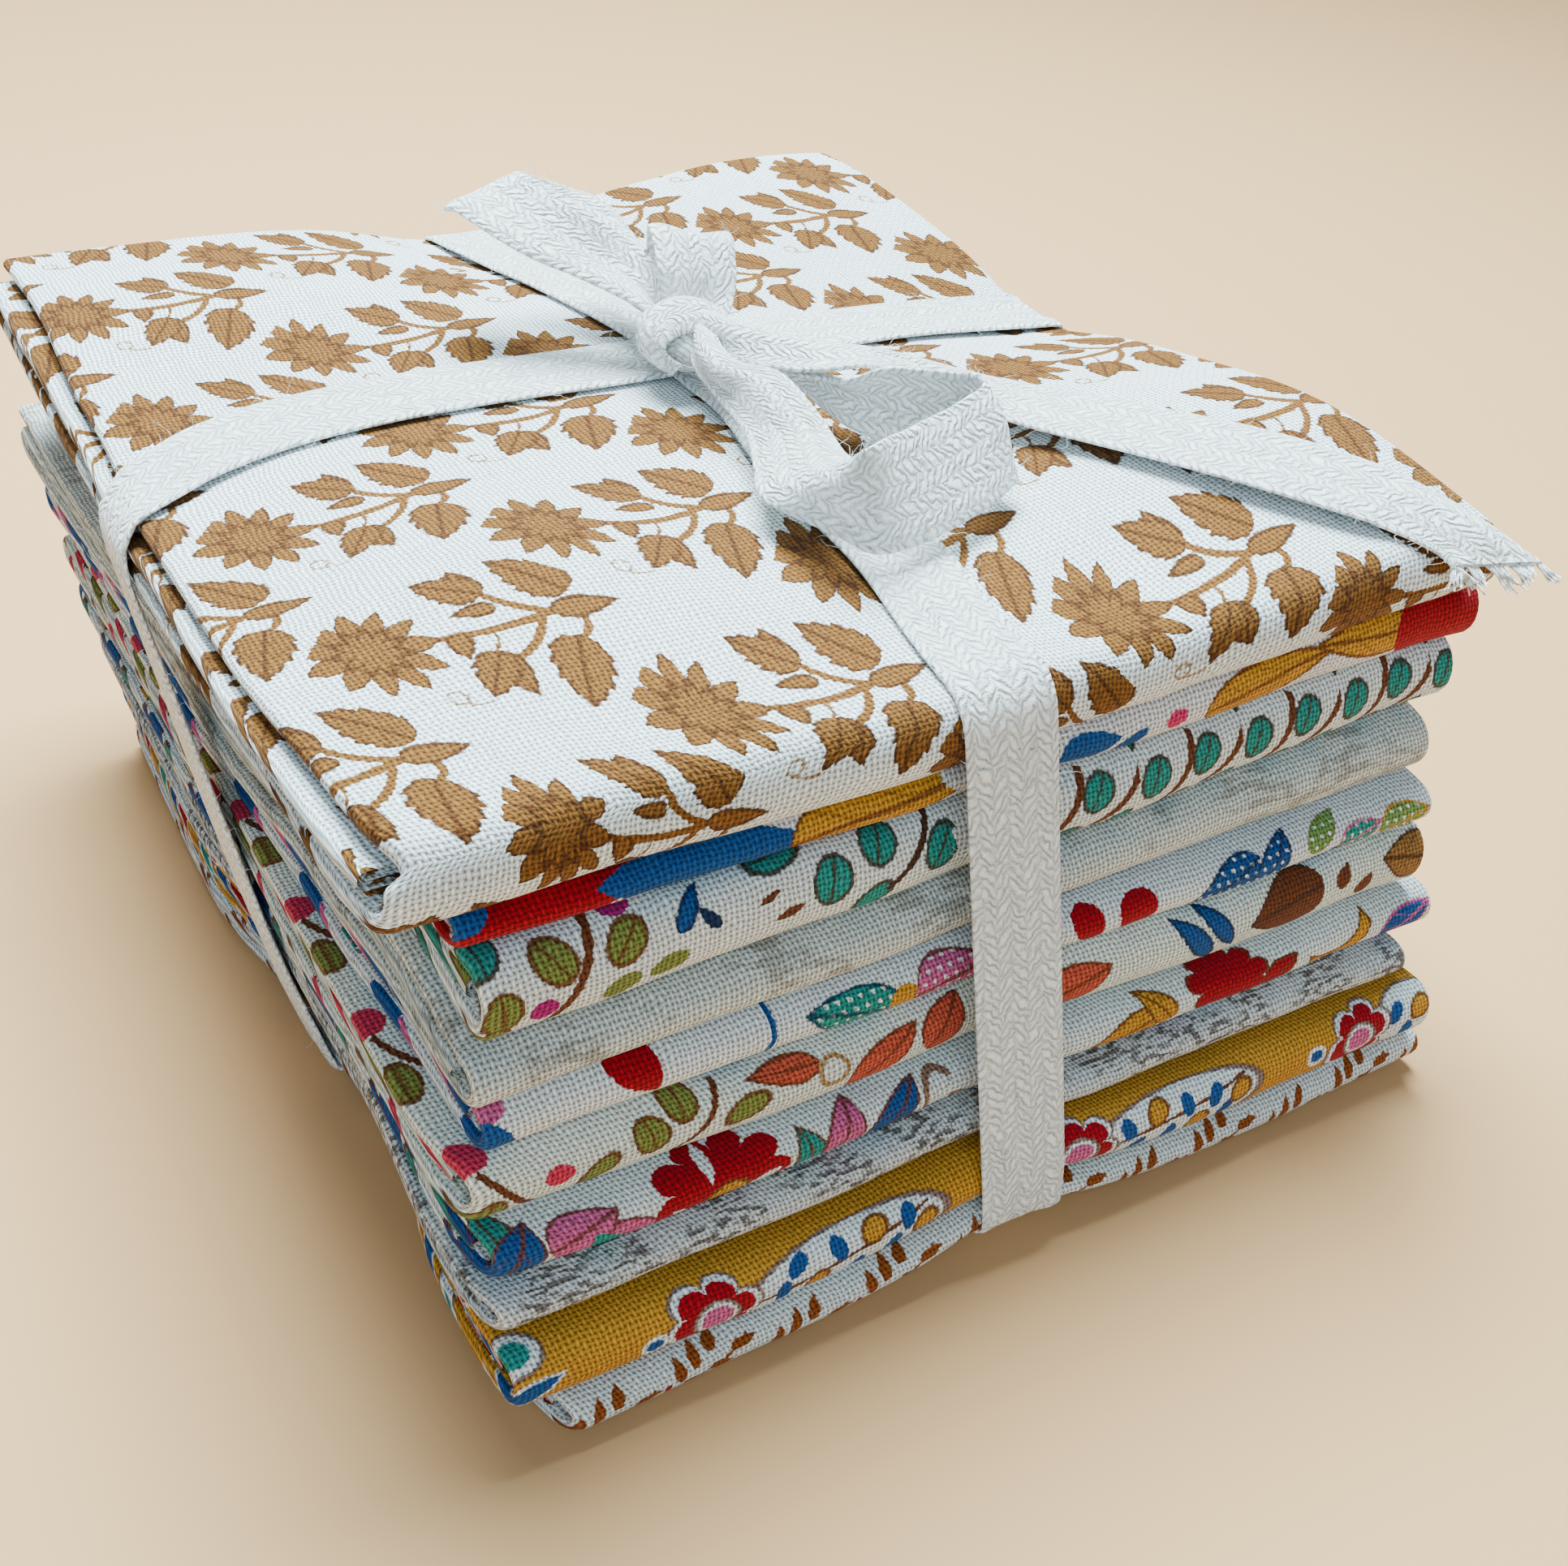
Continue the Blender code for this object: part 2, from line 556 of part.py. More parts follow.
def make_knot():
    shape = bmesh.new()
    bmesh.ops.create_uvsphere(shape, u_segments=KNOT_SEGMENTS, v_segments=KNOT_RINGS, radius=1.0)
    cosine, sine = math.cos(KNOT_TURN), math.sin(KNOT_TURN)
    for vertex in shape.verts:
        x, y, z = (vertex.co[i] * KNOT_RADII[i] for i in range(3))
        vertex.co = placed(KNOT_CENTRE[0] + x * cosine - y * sine,
                           KNOT_CENTRE[1] + x * sine + y * cosine,
                           KNOT_CENTRE[2] + z)
    mesh = bpy.data.meshes.new("knot")
    shape.to_mesh(mesh)
    shape.free()
    return mesh


def make_tape(collection, cutters):
    """The tape: two wraps, the knot, two loops and two ends, joined into one body."""
    tape = add_object("tape", loft("tape", front_back_wrap(), closed=True), TAPE_COLOUR, TAPE_ROUGHNESS,
                      collection)
    others = (
        ("left_right", loft("left_right", left_right_wrap(), closed=True)),
        ("right_loop", loft("right_loop", ribbon_rings(RIGHT_LOOP))),
        ("left_loop", loft("left_loop", ribbon_rings(LEFT_LOOP))),
        ("long_end", loft("long_end", ribbon_rings(LONG_END))),
        ("short_end", loft("short_end", ribbon_rings(SHORT_END))),
        ("knot", make_knot()),
    )
    for name, mesh in others:
        other = bpy.data.objects.new("joined_" + name, mesh)
        other.hide_render = True
        other.display_type = "WIRE"
        cutters.objects.link(other)
        union = tape.modifiers.new(name, "BOOLEAN")
        union.operation = "UNION"
        union.solver = "EXACT"
        union.object = other
    return tape


def main():
    for item in list(bpy.data.objects):
        bpy.data.objects.remove(item)
    bundle = bpy.data.collections.new("fat_eighth_bundle")
    joined = bpy.data.collections.new("joined_into_the_tape")
    bpy.context.scene.collection.children.link(bundle)
    bpy.context.scene.collection.children.link(joined)
    for index in range(CLOTHS):
        make_cloth(index, bundle)
    make_tape(bundle, joined)


main()
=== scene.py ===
"""Looks of the fat eighth bundle, for Blender 4.5.

Each cloth is the whole cut sheet, folded as the real one is: rolled flat into six layers along its length,
and that pad folded in three. The tape goes round the stack both ways and is tied in a bow.

Lengths are in millimetres until a mesh is made. X runs to the right along the front, Y to the back, Z up,
from the near left corner of the top cloth. STACK_CENTRE moves them to the part's frame.
"""
import math

import bpy
import numpy as np
from mathutils import Matrix, Vector

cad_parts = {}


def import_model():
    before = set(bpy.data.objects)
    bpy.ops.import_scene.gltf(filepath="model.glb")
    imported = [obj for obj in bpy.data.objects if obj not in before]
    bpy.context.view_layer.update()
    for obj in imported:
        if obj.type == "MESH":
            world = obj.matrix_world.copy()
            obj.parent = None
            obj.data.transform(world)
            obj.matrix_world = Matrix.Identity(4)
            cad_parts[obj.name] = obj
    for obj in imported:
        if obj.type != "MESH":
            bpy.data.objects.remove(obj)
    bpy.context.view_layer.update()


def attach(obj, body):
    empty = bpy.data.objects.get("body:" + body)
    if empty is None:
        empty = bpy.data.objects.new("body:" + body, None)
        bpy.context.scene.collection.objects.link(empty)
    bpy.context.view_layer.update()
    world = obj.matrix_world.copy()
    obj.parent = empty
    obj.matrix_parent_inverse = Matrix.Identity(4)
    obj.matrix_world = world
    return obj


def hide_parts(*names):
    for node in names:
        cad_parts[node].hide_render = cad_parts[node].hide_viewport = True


MM = 0.001
STACK_CENTRE = (43.79, 45.19)

# The stack, mostly as in the part's source
CLOTHS = 10
FOLDED_HEIGHT = 4.88
STACK_HEIGHT = CLOTHS * FOLDED_HEIGHT
STACK_WIDTH = 88.0
STACK_DEPTH = 92.0
LEFT_END_PLACES = (8.0, 25.0, 42.0, 60.0, 92.0)
CLOTH_COLUMNS = ("left_corner", "left_ends", "right_front", "right_back",
                 "front_left", "front_right", "back_left", "back_right")
CLOTH_ROWS = (
    (1.8, (-0.6, -1.4, -1.4, -0.8, 0.2), 88.2, 83.2, 1.8, 2.3, 93.5, 92.3),
    (4.0, (3.4, 2.8, 2.4, 2.4, 2.6), 90.0, 85.4, 2.8, 3.9, 92.6, 93.0),
    (5.4, (4.6, 3.3, 2.8, 2.6, 2.8), 89.8, 85.4, 1.4, 4.0, 93.0, 93.4),
    (4.2, (3.7, 2.5, 1.3, 0.6, -0.3), 87.7, 84.2, 1.0, 2.7, 96.0, 94.6),
    (4.7, (4.1, 3.2, 2.6, 1.8, 0.4), 87.8, 84.4, 1.3, 0.4, 94.0, 93.4),
    (4.8, (2.2, 1.8, 1.8, 1.4, 1.0), 88.2, 84.2, 1.1, -0.1, 92.6, 92.0),
    (5.2, (3.2, 2.9, 2.7, 2.2, 1.9), 90.5, 85.6, -0.4, -1.1, 92.0, 91.2),
    (4.9, (2.8, 3.9, 3.8, 2.4, 2.6), 87.3, 84.6, -1.7, -2.3, 90.6, 90.4),
    (4.8, (3.9, 6.0, 4.7, 2.5, 3.7), 89.0, 85.4, -4.4, -4.9, 89.4, 89.2),
    (9.0, (6.6, 7.2, 5.6, 3.4, 4.4), 89.8, 85.6, -5.2, -4.8, 88.4, 88.8),
)
CORNER_REACH = 3.0
FRONT_LEVELS_LEFT = (0.0, 3.9, 9.4, 12.8, 17.1, 23.3, 27.7, 31.9, 39.0, 42.1, 48.8)
FRONT_LEVELS_RIGHT = (0.0, 3.6, 9.4, 12.7, 17.0, 23.3, 27.1, 31.9, 37.7, 43.0, 48.8)
LEFT_LEVELS_TO, RIGHT_LEVELS_FROM = 20.0, 85.0
FRONT_LEVELS_FULL_AT, FRONT_LEVELS_GONE_AT = 1.0, 17.0
TOP_SWELLS = (
    (84.0, 21.0, 20.0, 18.0, 3.9),
    (76.0, 88.0, 16.0, 15.0, 2.4),
    (14.0, 80.0, 16.0, 14.0, 0.8),
    (18.0, 20.0, 16.0, 14.0, 0.7),
    (85.0, 56.0, 16.0, 9.0, -2.8),
    (42.0, 93.0, 11.0, 16.0, -2.8),
    (-1.0, 48.5, 9.0, 7.0, -0.9),
    (40.0, 0.0, 9.0, 10.0, -0.9),
    (19.0, 27.0, 12.0, 12.0, 1.4),
    (17.0, 76.0, 13.0, 10.0, 0.8),
    (70.0, 78.0, 10.0, 10.0, 0.7),
)
CURL, CURL_AT_TAPE, CURL_CENTRE_X, CURL_REACH_X = 0.3, 2.6, 45.0, 11.0
CURL_FULL_AT, CURL_GONE_AT, CURL_FADE = -5.0, 8.0, 8
GROOVE_FLAT, GROOVE_SLOPE, GROOVE_FADE = 4.6, 5.5, 14
FRONT_BACK_TOP = ((-6.0, 42.0), (3.0, 41.9), (10.0, 42.5), (20.0, 44.1), (31.0, 44.6), (37.5, 45.8),
                  (44.0, 47.0), (50.5, 46.9), (58.6, 47.0), (66.0, 45.9), (79.0, 43.7), (94.0, 42.0))
FRONT_BACK_BELOW = ((-6.0, 46.2), (94.0, 44.0))
LEFT_RIGHT_TOP = ((-1.0, 48.5), (2.0, 50.3), (6.0, 52.4), (13.0, 54.2), (25.0, 55.2), (42.0, 54.8),
                  (60.0, 55.2), (74.0, 56.2), (88.0, 57.0))
LEFT_RIGHT_BELOW = ((-1.0, 38.4), (90.0, 49.0))
TAPE_WIDTH = 7.4

# What only the looks need
LAYER, LAYERS_IN_PAD = 0.258, 6
PAD = LAYER * LAYERS_IN_PAD
BETWEEN_PADS = 0.05
UNDER_CLOTH, OVER_CLOTH = 0.02, 0.10
FOLD = 3 * PAD + 2 * BETWEEN_PADS
RAW_END_SETBACK, FREE_END_SETBACK = 0.4, 0.35
OUTER_FOLD = 2.5 * LAYER
PANEL, OUTER_PANEL_AT = 86.0, 348.05
ROLL_STEPS = ((8, 8), (8, 8), (34, 14))
DEPTH_POINTS, NOSE_POINTS, BEND_POINTS = 37, 12, 7
GROOVE_DEPTH = 0.62
TAPE_THICKNESS, TAPE_CLEARANCE = 0.56, 0.17
PRESSED_IN, PRESSED_AT, PRESSED_REACH = 0.7, 43.5, 6.5
LOWER_PADS_OUT, LOWER_PADS_TO, UPPER_PAD_FROM = 1.4, 0.60, 0.74

# How far the folds and sides waver, and over what length
FRONT_WAVER, BACK_WAVER, FOLD_WAVER_LENGTH = 0.22, 0.25, 24
LEVEL_WAVER, LEVEL_WAVER_LENGTH, LEVEL_SLANT = 0.12, 20, 0.35
LEFT_WAVER, RIGHT_WAVER, SIDE_WAVER_LENGTH, WALKED_DEPTH = 0.35, 0.3, 55, 90

# Where the top cloth's print is drawn out of place: x, y, reach, and how far it is moved across and along
TOP_DRAWN = (
    (22.6, 31.3, 10.5, -0.1, 0.2), (38.7, 41.2, 10.5, 1.4, 1.4), (37.7, 18.5, 10.5, -0.3, -1.0),
    (4.2, 37.9, 10.5, -0.3, -1.4), (5.8, 20.9, 10.5, -0.8, 0.3), (19.8, 47.8, 10.5, -0.3, 1.1),
    (22.2, 8.2, 10.5, -1.9, -1.7), (53.8, 6.3, 10.5, -2.8, -2.7), (18.4, 65.7, 10.5, -0.8, -2.4),
    (33.5, 75.6, 10.5, -0.1, -0.4), (2.4, 77.5, 10.5, 0.2, 1.0), (76.0, 80.0, 16.0, -4.2, -3.0),
)

# The tape's wraps: the middle of their sections, the lanes that are measured, and the points across
SECTION_CENTRE = np.array((44.0, 24.0))
LANES = np.linspace(-1, 1, 7)
LANE_REACH = 1.3
OUTLINE_STEP, WRAP_STEP, WRAP_ANGLES = 0.25, 0.9, 1200
ACROSS_TAPE = np.array((-1, -0.975, -0.9, -0.72, -0.5, -0.25, 0, 0.25, 0.5, 0.72, 0.9, 0.975, 1))
CURVE_STEPS = 8
EDGE_THINNING = 0.93

# The bow. One row for each section of a ribbon: x, y, z of its left edge, then of its right edge
RIGHT_LOOP = (
    (43.0, 49.0, 53.2, 44.8, 48.0, 53.8),
    (42.6, 47.7, 53.3, 43.6, 45.6, 54.9),
    (41.5, 45.8, 52.9, 42.8, 43.1, 54.9),
    (41.1, 43.2, 52.3, 42.6, 39.8, 55.0),
    (41.1, 40.4, 51.9, 43.8, 36.2, 55.6),
    (40.8, 36.7, 51.8, 43.7, 31.6, 55.2),
    (40.1, 33.8, 51.8, 43.4, 28.1, 54.6),
    (38.2, 29.7, 51.8, 42.2, 24.6, 55.0),
    (36.6, 25.9, 51.7, 41.4, 22.3, 55.6),
    (37.7, 22.4, 51.4, 39.6, 19.3, 57.4),
    (39.1, 19.6, 51.1, 39.2, 18.3, 58.1),
    (40.5, 17.1, 50.9, 40.4, 18.6, 58.3),
    (42.8, 16.7, 50.9, 43.0, 20.5, 57.6),
    (45.7, 17.3, 50.9, 45.1, 21.5, 57.3),
    (49.0, 18.4, 50.9, 47.8, 22.9, 57.0),
    (52.0, 19.5, 51.0, 50.6, 24.0, 56.9),
    (54.3, 20.5, 51.3, 53.0, 24.9, 57.1),
    (55.7, 21.2, 51.5, 54.4, 25.3, 57.3),
    (56.4, 22.4, 51.4, 55.1, 26.0, 57.5),
    (56.2, 23.8, 51.2, 54.9, 27.0, 57.6),
    (55.2, 26.2, 50.9, 53.8, 28.0, 57.5),
    (53.5, 28.8, 50.8, 51.9, 29.6, 57.4),
    (51.5, 31.6, 50.8, 50.2, 31.6, 57.0),
    (50.2, 34.6, 50.9, 48.6, 33.8, 55.5),
    (49.9, 38.4, 51.2, 47.9, 36.6, 54.6),
    (49.2, 41.6, 51.9, 47.1, 39.6, 53.9),
    (46.8, 43.6, 52.4, 45.3, 42.6, 53.8),
    (45.0, 46.5, 52.6, 44.4, 45.6, 53.8),
)
LEFT_LOOP = (
    (43.2, 49.6, 53.2, 44.8, 52.0, 53.8),
    (41.9, 51.9, 53.6, 43.9, 54.6, 54.4),
    (40.6, 53.1, 54.2, 44.4, 55.8, 55.2),
    (38.8, 55.0, 55.0, 43.7, 57.9, 56.4),
    (36.7, 56.8, 56.0, 42.4, 59.8, 57.6),
    (34.3, 58.5, 57.0, 40.5, 61.0, 59.0),
    (32.4, 60.5, 58.0, 38.8, 62.7, 60.2),
    (31.1, 62.7, 58.8, 37.7, 64.8, 60.8),
    (30.1, 65.0, 59.3, 36.9, 66.4, 61.0),
    (30.2, 66.6, 58.8, 37.3, 67.9, 60.7),
    (32.2, 68.1, 57.8, 39.1, 68.9, 59.9),
    (36.1, 67.0, 56.3, 42.5, 68.8, 58.7),
    (38.9, 64.9, 55.2, 44.9, 66.9, 57.9),
    (40.8, 61.4, 54.3, 46.0, 64.4, 56.3),
    (42.0, 58.1, 53.6, 46.4, 61.2, 55.0),
    (42.9, 54.6, 53.1, 46.0, 57.2, 53.9),
    (43.8, 51.6, 52.6, 46.2, 53.4, 53.2),
)
LONG_END = (
    (43.6, 47.2, 53.8, 44.8, 49.4, 55.2),
    (43.4, 44.0, 54.2, 45.0, 46.8, 55.7),
    (43.9, 41.0, 54.7, 46.3, 44.6, 55.4),
    (45.6, 37.9, 55.3, 48.7, 42.5, 55.0),
    (47.2, 35.0, 56.1, 51.0, 40.2, 55.0),
    (49.8, 33.6, 56.5, 53.9, 38.9, 54.6),
    (53.0, 33.2, 55.4, 57.1, 38.6, 53.7),
    (56.4, 32.5, 53.6, 60.8, 38.0, 52.7),
    (59.6, 31.0, 51.9, 64.6, 36.4, 51.7),
    (62.4, 28.6, 51.2, 68.0, 33.6, 51.4),
    (64.6, 25.1, 51.3, 71.0, 29.0, 52.0),
    (66.9, 20.5, 51.7, 73.3, 24.2, 52.6),
    (69.4, 15.6, 52.0, 75.9, 19.5, 53.1),
    (72.1, 11.2, 52.0, 78.6, 15.4, 53.1),
    (75.2, 7.4, 51.6, 81.4, 11.6, 52.7),
    (78.4, 4.4, 50.9, 84.2, 8.2, 51.9),
    (79.8, 3.0, 50.4, 85.9, 4.6, 51.1),
    (80.4, 2.2, 49.9, 87.3, 2.0, 50.0),
    (80.7, 1.5, 49.2, 88.3, -0.2, 48.7),
)
SHORT_END = (
    (42.6, 50.4, 52.8, 46.0, 48.6, 52.6),
    (42.5, 51.6, 53.4, 46.7, 49.6, 52.9),
    (42.6, 52.6, 55.0, 48.3, 51.3, 53.9),
    (42.5, 53.1, 57.0, 49.4, 52.6, 55.8),
    (42.7, 54.0, 58.1, 49.8, 53.6, 57.0),
    (43.1, 55.5, 59.1, 50.2, 54.6, 58.0),
    (43.5, 56.8, 59.2, 50.5, 55.9, 58.1),
    (44.0, 57.7, 58.2, 50.9, 56.9, 57.2),
    (44.4, 58.3, 56.1, 51.2, 57.6, 55.1),
)
KNOT_CENTRE = (43.8, 49.6, 52.6)
KNOT_RADII = (3.3, 3.0, 2.3)
KNOT_TURN = math.radians(-35)
BAND_CENTRE = (43.4, 49.3, 52.9)
BAND_AXIS = (0.45, 1.0, -0.12)
BAND_RADII = (3.6, 2.7)
BAND_WIDTH = 4.8
BAND_FROM, BAND_TO, BAND_ROWS = -70, 250, 46
KNOT_COLUMNS, KNOT_ROWS, KNOT_PLEATS = 32, 24, 0.05
FIBRE = 0.035

# The photograph's camera: azimuth, elevation and roll in degrees, place in metres, lens and sensor
CAMERA_TURNS = (-34.09, 36.17, 5.625)
CAMERA_PLACE = (-0.069617, -0.117963, 0.112593)
LENS, SENSOR_WIDTH, NEAR_CLIP = 42.83, 36, 0.005

# The lamps: name, power, size, place and colour
LAMPS = (
    ("window", 14.0, 0.28, (0.04, 0.15, 0.46), (0.72, 0.93, 1.0)),
    ("room", 9.0, 1.0, (-0.5, -0.9, 0.7), (0.58, 0.86, 1.0)),
)
LAMPS_AIM = (0, 0, 0.02)
SKY_COLOUR, SKY_STRENGTH = (0.76, 0.89, 1.0), 0.32
FLOOR_COLOUR, FLOOR_ROUGHNESS = (0.635, 0.338, 0.147), 0.8
FLOOR_REACH, FLOOR_HEIGHT = 3.0, -0.0003


def place_camera():
    """The photograph's viewing angle."""
    azimuth, elevation, roll = (math.radians(turn) for turn in CAMERA_TURNS)
    back = Vector((math.sin(azimuth) * math.cos(elevation), -math.cos(azimuth) * math.cos(elevation),
                   math.sin(elevation)))
    right = Vector((0, 0, 1)).cross(back).normalized()
    up = back.cross(right)
    across = math.cos(roll) * right + math.sin(roll) * up
    upward = math.cos(roll) * up - math.sin(roll) * right
    data = bpy.data.cameras.new("photo_camera")
    data.sensor_fit = "HORIZONTAL"
    data.sensor_width = SENSOR_WIDTH
    data.lens = LENS
    data.clip_start = NEAR_CLIP
    camera = bpy.data.objects.new("photo_camera", data)
    turned = Matrix((across, upward, back)).transposed().to_4x4()
    camera.matrix_world = Matrix.Translation(CAMERA_PLACE) @ turned
    bpy.context.scene.collection.objects.link(camera)
    bpy.context.scene.camera = camera


def smooth_step(low, high, value):
    share = np.clip((value - low) / (high - low), 0, 1)
    return share * share * (3 - 2 * share)


def blend(low, high, share):
    return low + (high - low) * share


def along_table(table, place):
    """The second column at a place in the first, smoothly through the rows and even before and after them."""
    place = np.asarray(place, float)
    result = np.full(place.shape, table[0][1], float)
    for (start, value), (end, next_value) in zip(table, table[1:]):
        result = np.where(place > start, blend(value, next_value, smooth_step(start, end, place)), result)
    return result


def wave(place, seed, length):
    """An uneven wave between about -1 and 1, always the same for a seed."""
    turns = np.random.RandomState(seed).rand(4, 2)
    total = 0
    for i, (phase, share) in enumerate(turns):
        turn = place * 2 * math.pi * (i + 0.6 + share) / (2 * length) + phase * 6.283
        total = total + np.sin(turn) / (i + 1)
    return total / 1.6


def run_along(line):
    """How far each point of a line is from its start, along the line."""
    return np.concatenate([[0], np.cumsum(np.linalg.norm(np.diff(line, axis=0), axis=1))])


def unit(vectors):
    """The same directions with a length of 1."""
    return vectors / np.maximum(np.linalg.norm(vectors, axis=-1, keepdims=True), 1e-9)


def cloth_row(index):
    return dict(zip(CLOTH_COLUMNS, CLOTH_ROWS[index]))


def front_of(row, x, index):
    pressed = PRESSED_IN * np.exp(-((x - PRESSED_AT) / PRESSED_REACH) ** 2)
    waver = FRONT_WAVER * wave(x, index + 11, FOLD_WAVER_LENGTH)
    return blend(row["front_left"], row["front_right"], x / STACK_WIDTH) + pressed + waver


def back_of(row, x, index):
    waver = BACK_WAVER * wave(x, index + 31, FOLD_WAVER_LENGTH)
    return blend(row["back_left"], row["back_right"], x / STACK_WIDTH) + waver


def left_of(row, y):
    ends = row["left_ends"]
    pulled_in = (row["left_corner"] - ends[0]) * np.exp(-(y - row["front_left"]) / CORNER_REACH)
    return along_table(tuple(zip(LEFT_END_PLACES, ends)), y) + pulled_in


def right_of(row, y):
    return blend(row["right_front"], row["right_back"], y / STACK_DEPTH)


def groove_share(x, y):
    """1 over the tape under the bundle and 0 a little away from it."""
    nearest = np.minimum(abs(x - along_table(FRONT_BACK_BELOW, y)), abs(y - along_table(LEFT_RIGHT_BELOW, x)))
    return 1 - smooth_step(GROOVE_FLAT, GROOVE_FLAT + GROOVE_SLOPE, nearest)


def top_swell(x, y):
    return sum(rise * np.exp(-((x - at_x) / reach_x) ** 2 - ((y - at_y) / reach_y) ** 2)
               for at_x, at_y, reach_x, reach_y, rise in TOP_SWELLS)


def height(x, y, level):
    """The height of a level of the stack, counted in cloths from the floor."""
    front = blend(FRONT_LEVELS_LEFT[level], FRONT_LEVELS_RIGHT[level],
                  smooth_step(LEFT_LEVELS_TO, RIGHT_LEVELS_FROM, x))
    at_front = 1 - smooth_step(FRONT_LEVELS_FULL_AT, FRONT_LEVELS_GONE_AT, y)
    z = blend(level * FOLDED_HEIGHT, front, at_front)
    up = z / STACK_HEIGHT
    curl = CURL + CURL_AT_TAPE * np.exp(-((x - CURL_CENTRE_X) / CURL_REACH_X) ** 2)
    curl = curl * (1 - smooth_step(CURL_FULL_AT, CURL_GONE_AT, y)) * (1 - up) ** CURL_FADE
    lift = np.maximum(curl, GROOVE_DEPTH * groove_share(x, y) * (1 - up) ** GROOVE_FADE)
    waver = 0.0
    if 0 < level < CLOTHS:
        waver = LEVEL_WAVER * wave(x + LEVEL_SLANT * y, level + 51, LEVEL_WAVER_LENGTH)
    return z + top_swell(x, y) * up ** 2 + lift + waver


def cloth_height(x, y, base, share):
    low = height(x, y, base) + UNDER_CLOTH
    high = height(x, y, base + 1) - OVER_CLOTH
    return blend(low, high, share)


def flat_roll():
    """Where the cut runs across the pad: share of the width, reach past it, offset outwards, place."""
    half = LAYER / 2
    stations, place = [], 0.0

    def panel(offset, forward, steps):
        nonlocal place
        for share in np.linspace(0, 1, steps + 1):
            stations.append((share if forward else 1 - share, 0.0, offset, place + share * PANEL))
        place += PANEL

    def fold(centre, radius, side, steps, downward):
        nonlocal place
        for step in range(1, steps):
            angle = math.pi * step / steps
            offset = centre + radius * math.cos(angle) * (1 if downward else -1)
            stations.append((1.0 if side > 0 else 0.0, side * radius * math.sin(angle), offset,
                             place + radius * angle))
        place += math.pi * radius

    for turn, (steps_out, steps_back) in enumerate(ROLL_STEPS):
        level = (2 * turn + 1) * half
        panel(level, True, steps_out)
        fold(0.0, level, 1, 4 + 2 * turn, True)
        panel(-level, False, steps_back)
        if turn + 1 < len(ROLL_STEPS):
            fold(half, (turn + 1) * LAYER, -1, 5 + 2 * turn, False)
    return np.array(stations)


def letter_fold():
    """Where the pad's middle runs: share of the depth, reach past it, height, and its inner side."""
    low, middle, high = PAD / 2, PAD * 1.5 + BETWEEN_PADS, PAD * 2.5 + 2 * BETWEEN_PADS
    nose, bend = (high - low) / 2, (middle - low) / 2
    at_nose, at_bend = nose + PAD / 2, -bend - PAD / 2
    stations = []

    def layer(shares, start, end, at, down):
        for share in shares:
            stations.append((share, blend(start, end, share), at, 0.0, -1.0 if down else 1.0))

    shares = np.linspace(0, 1, DEPTH_POINTS)
    layer(shares[::-1], at_nose, -RAW_END_SETBACK, high, True)
    for angle in np.linspace(0, math.pi, NOSE_POINTS)[1:-1]:
        stations.append((0.0, at_nose - nose * math.sin(angle), (low + high) / 2 + nose * math.cos(angle),
                         math.sin(angle), -math.cos(angle)))
    layer(shares, at_nose, at_bend, low, False)
    for angle in np.linspace(0, math.pi, BEND_POINTS)[1:-1]:
        stations.append((1.0, at_bend + bend * math.sin(angle), (low + middle) / 2 - bend * math.cos(angle),
                         -math.sin(angle), math.cos(angle)))
    layer(shares[::-1], at_nose + FREE_END_SETBACK, at_bend, middle, True)
    return np.array(stations), len(shares) - 1


def cloth_points(index):
    """The folded cut as a grid of points, with each point's place on the flat cut."""
    row, base = cloth_row(index), CLOTHS - 1 - index
    across, (along, nose_at) = flat_roll(), letter_fold()
    share_x, reach_x, offset, place = (column[:, None] for column in across.T)
    share_y, reach_y, in_fold, normal_y, normal_h = (column[None, :] for column in along.T)
    walked = run_along(np.stack([along[:, 0] * WALKED_DEPTH + along[:, 1], along[:, 2]], axis=-1))[None, :]
    left_waver = LEFT_WAVER * wave(walked, index * 3 + 71, SIDE_WAVER_LENGTH)
    right_waver = RIGHT_WAVER * wave(walked, index * 3 + 72, SIDE_WAVER_LENGTH)
    x = blend(row["left_corner"], row["right_front"], share_x) + reach_x + 0 * share_y
    # x and y depend on each other, so they settle in three rounds
    for _ in range(3):
        y = blend(front_of(row, x, index), back_of(row, x, index), share_y) + reach_y - normal_y * offset
        left = left_of(row, y) + OUTER_FOLD + left_waver
        if index == 0:
            upper = smooth_step(FOLD * LOWER_PADS_TO, FOLD * UPPER_PAD_FROM, in_fold)
            left = left - LOWER_PADS_OUT * (1 - upper)
        right = right_of(row, y) - OUTER_FOLD + right_waver
        x = blend(left, right, share_x) + reach_x
    z = cloth_height(x, y, base, (in_fold - normal_h * offset) / FOLD)
    points = np.stack([x, y, z], axis=-1)
    run = np.array([run_along(line) for line in points])
    run = run[:, nose_at:nose_at + 1] - run
    cut = np.stack([place + 0 * run, run], axis=-1)
    if index == 0:
        for at_x, at_y, reach, moved_x, moved_y in TOP_DRAWN:
            share = np.exp(-((x - at_x) ** 2 + (y - at_y) ** 2) / reach ** 2)
            cut -= share[..., None] * (moved_x, moved_y)
    return points, cut


def grid_faces(rows, columns, closed=False):
    """Quads of a grid whose points are numbered row by row. A closed grid goes round across its columns."""
    first = np.arange(rows - 1)[:, None] * columns
    second = np.arange(columns if closed else columns - 1)[None, :]
    after = (second + 1) % columns
    corners = (first + second, first + after, first + columns + after, first + columns + second)
    return np.stack([c.ravel() for c in corners], axis=-1)


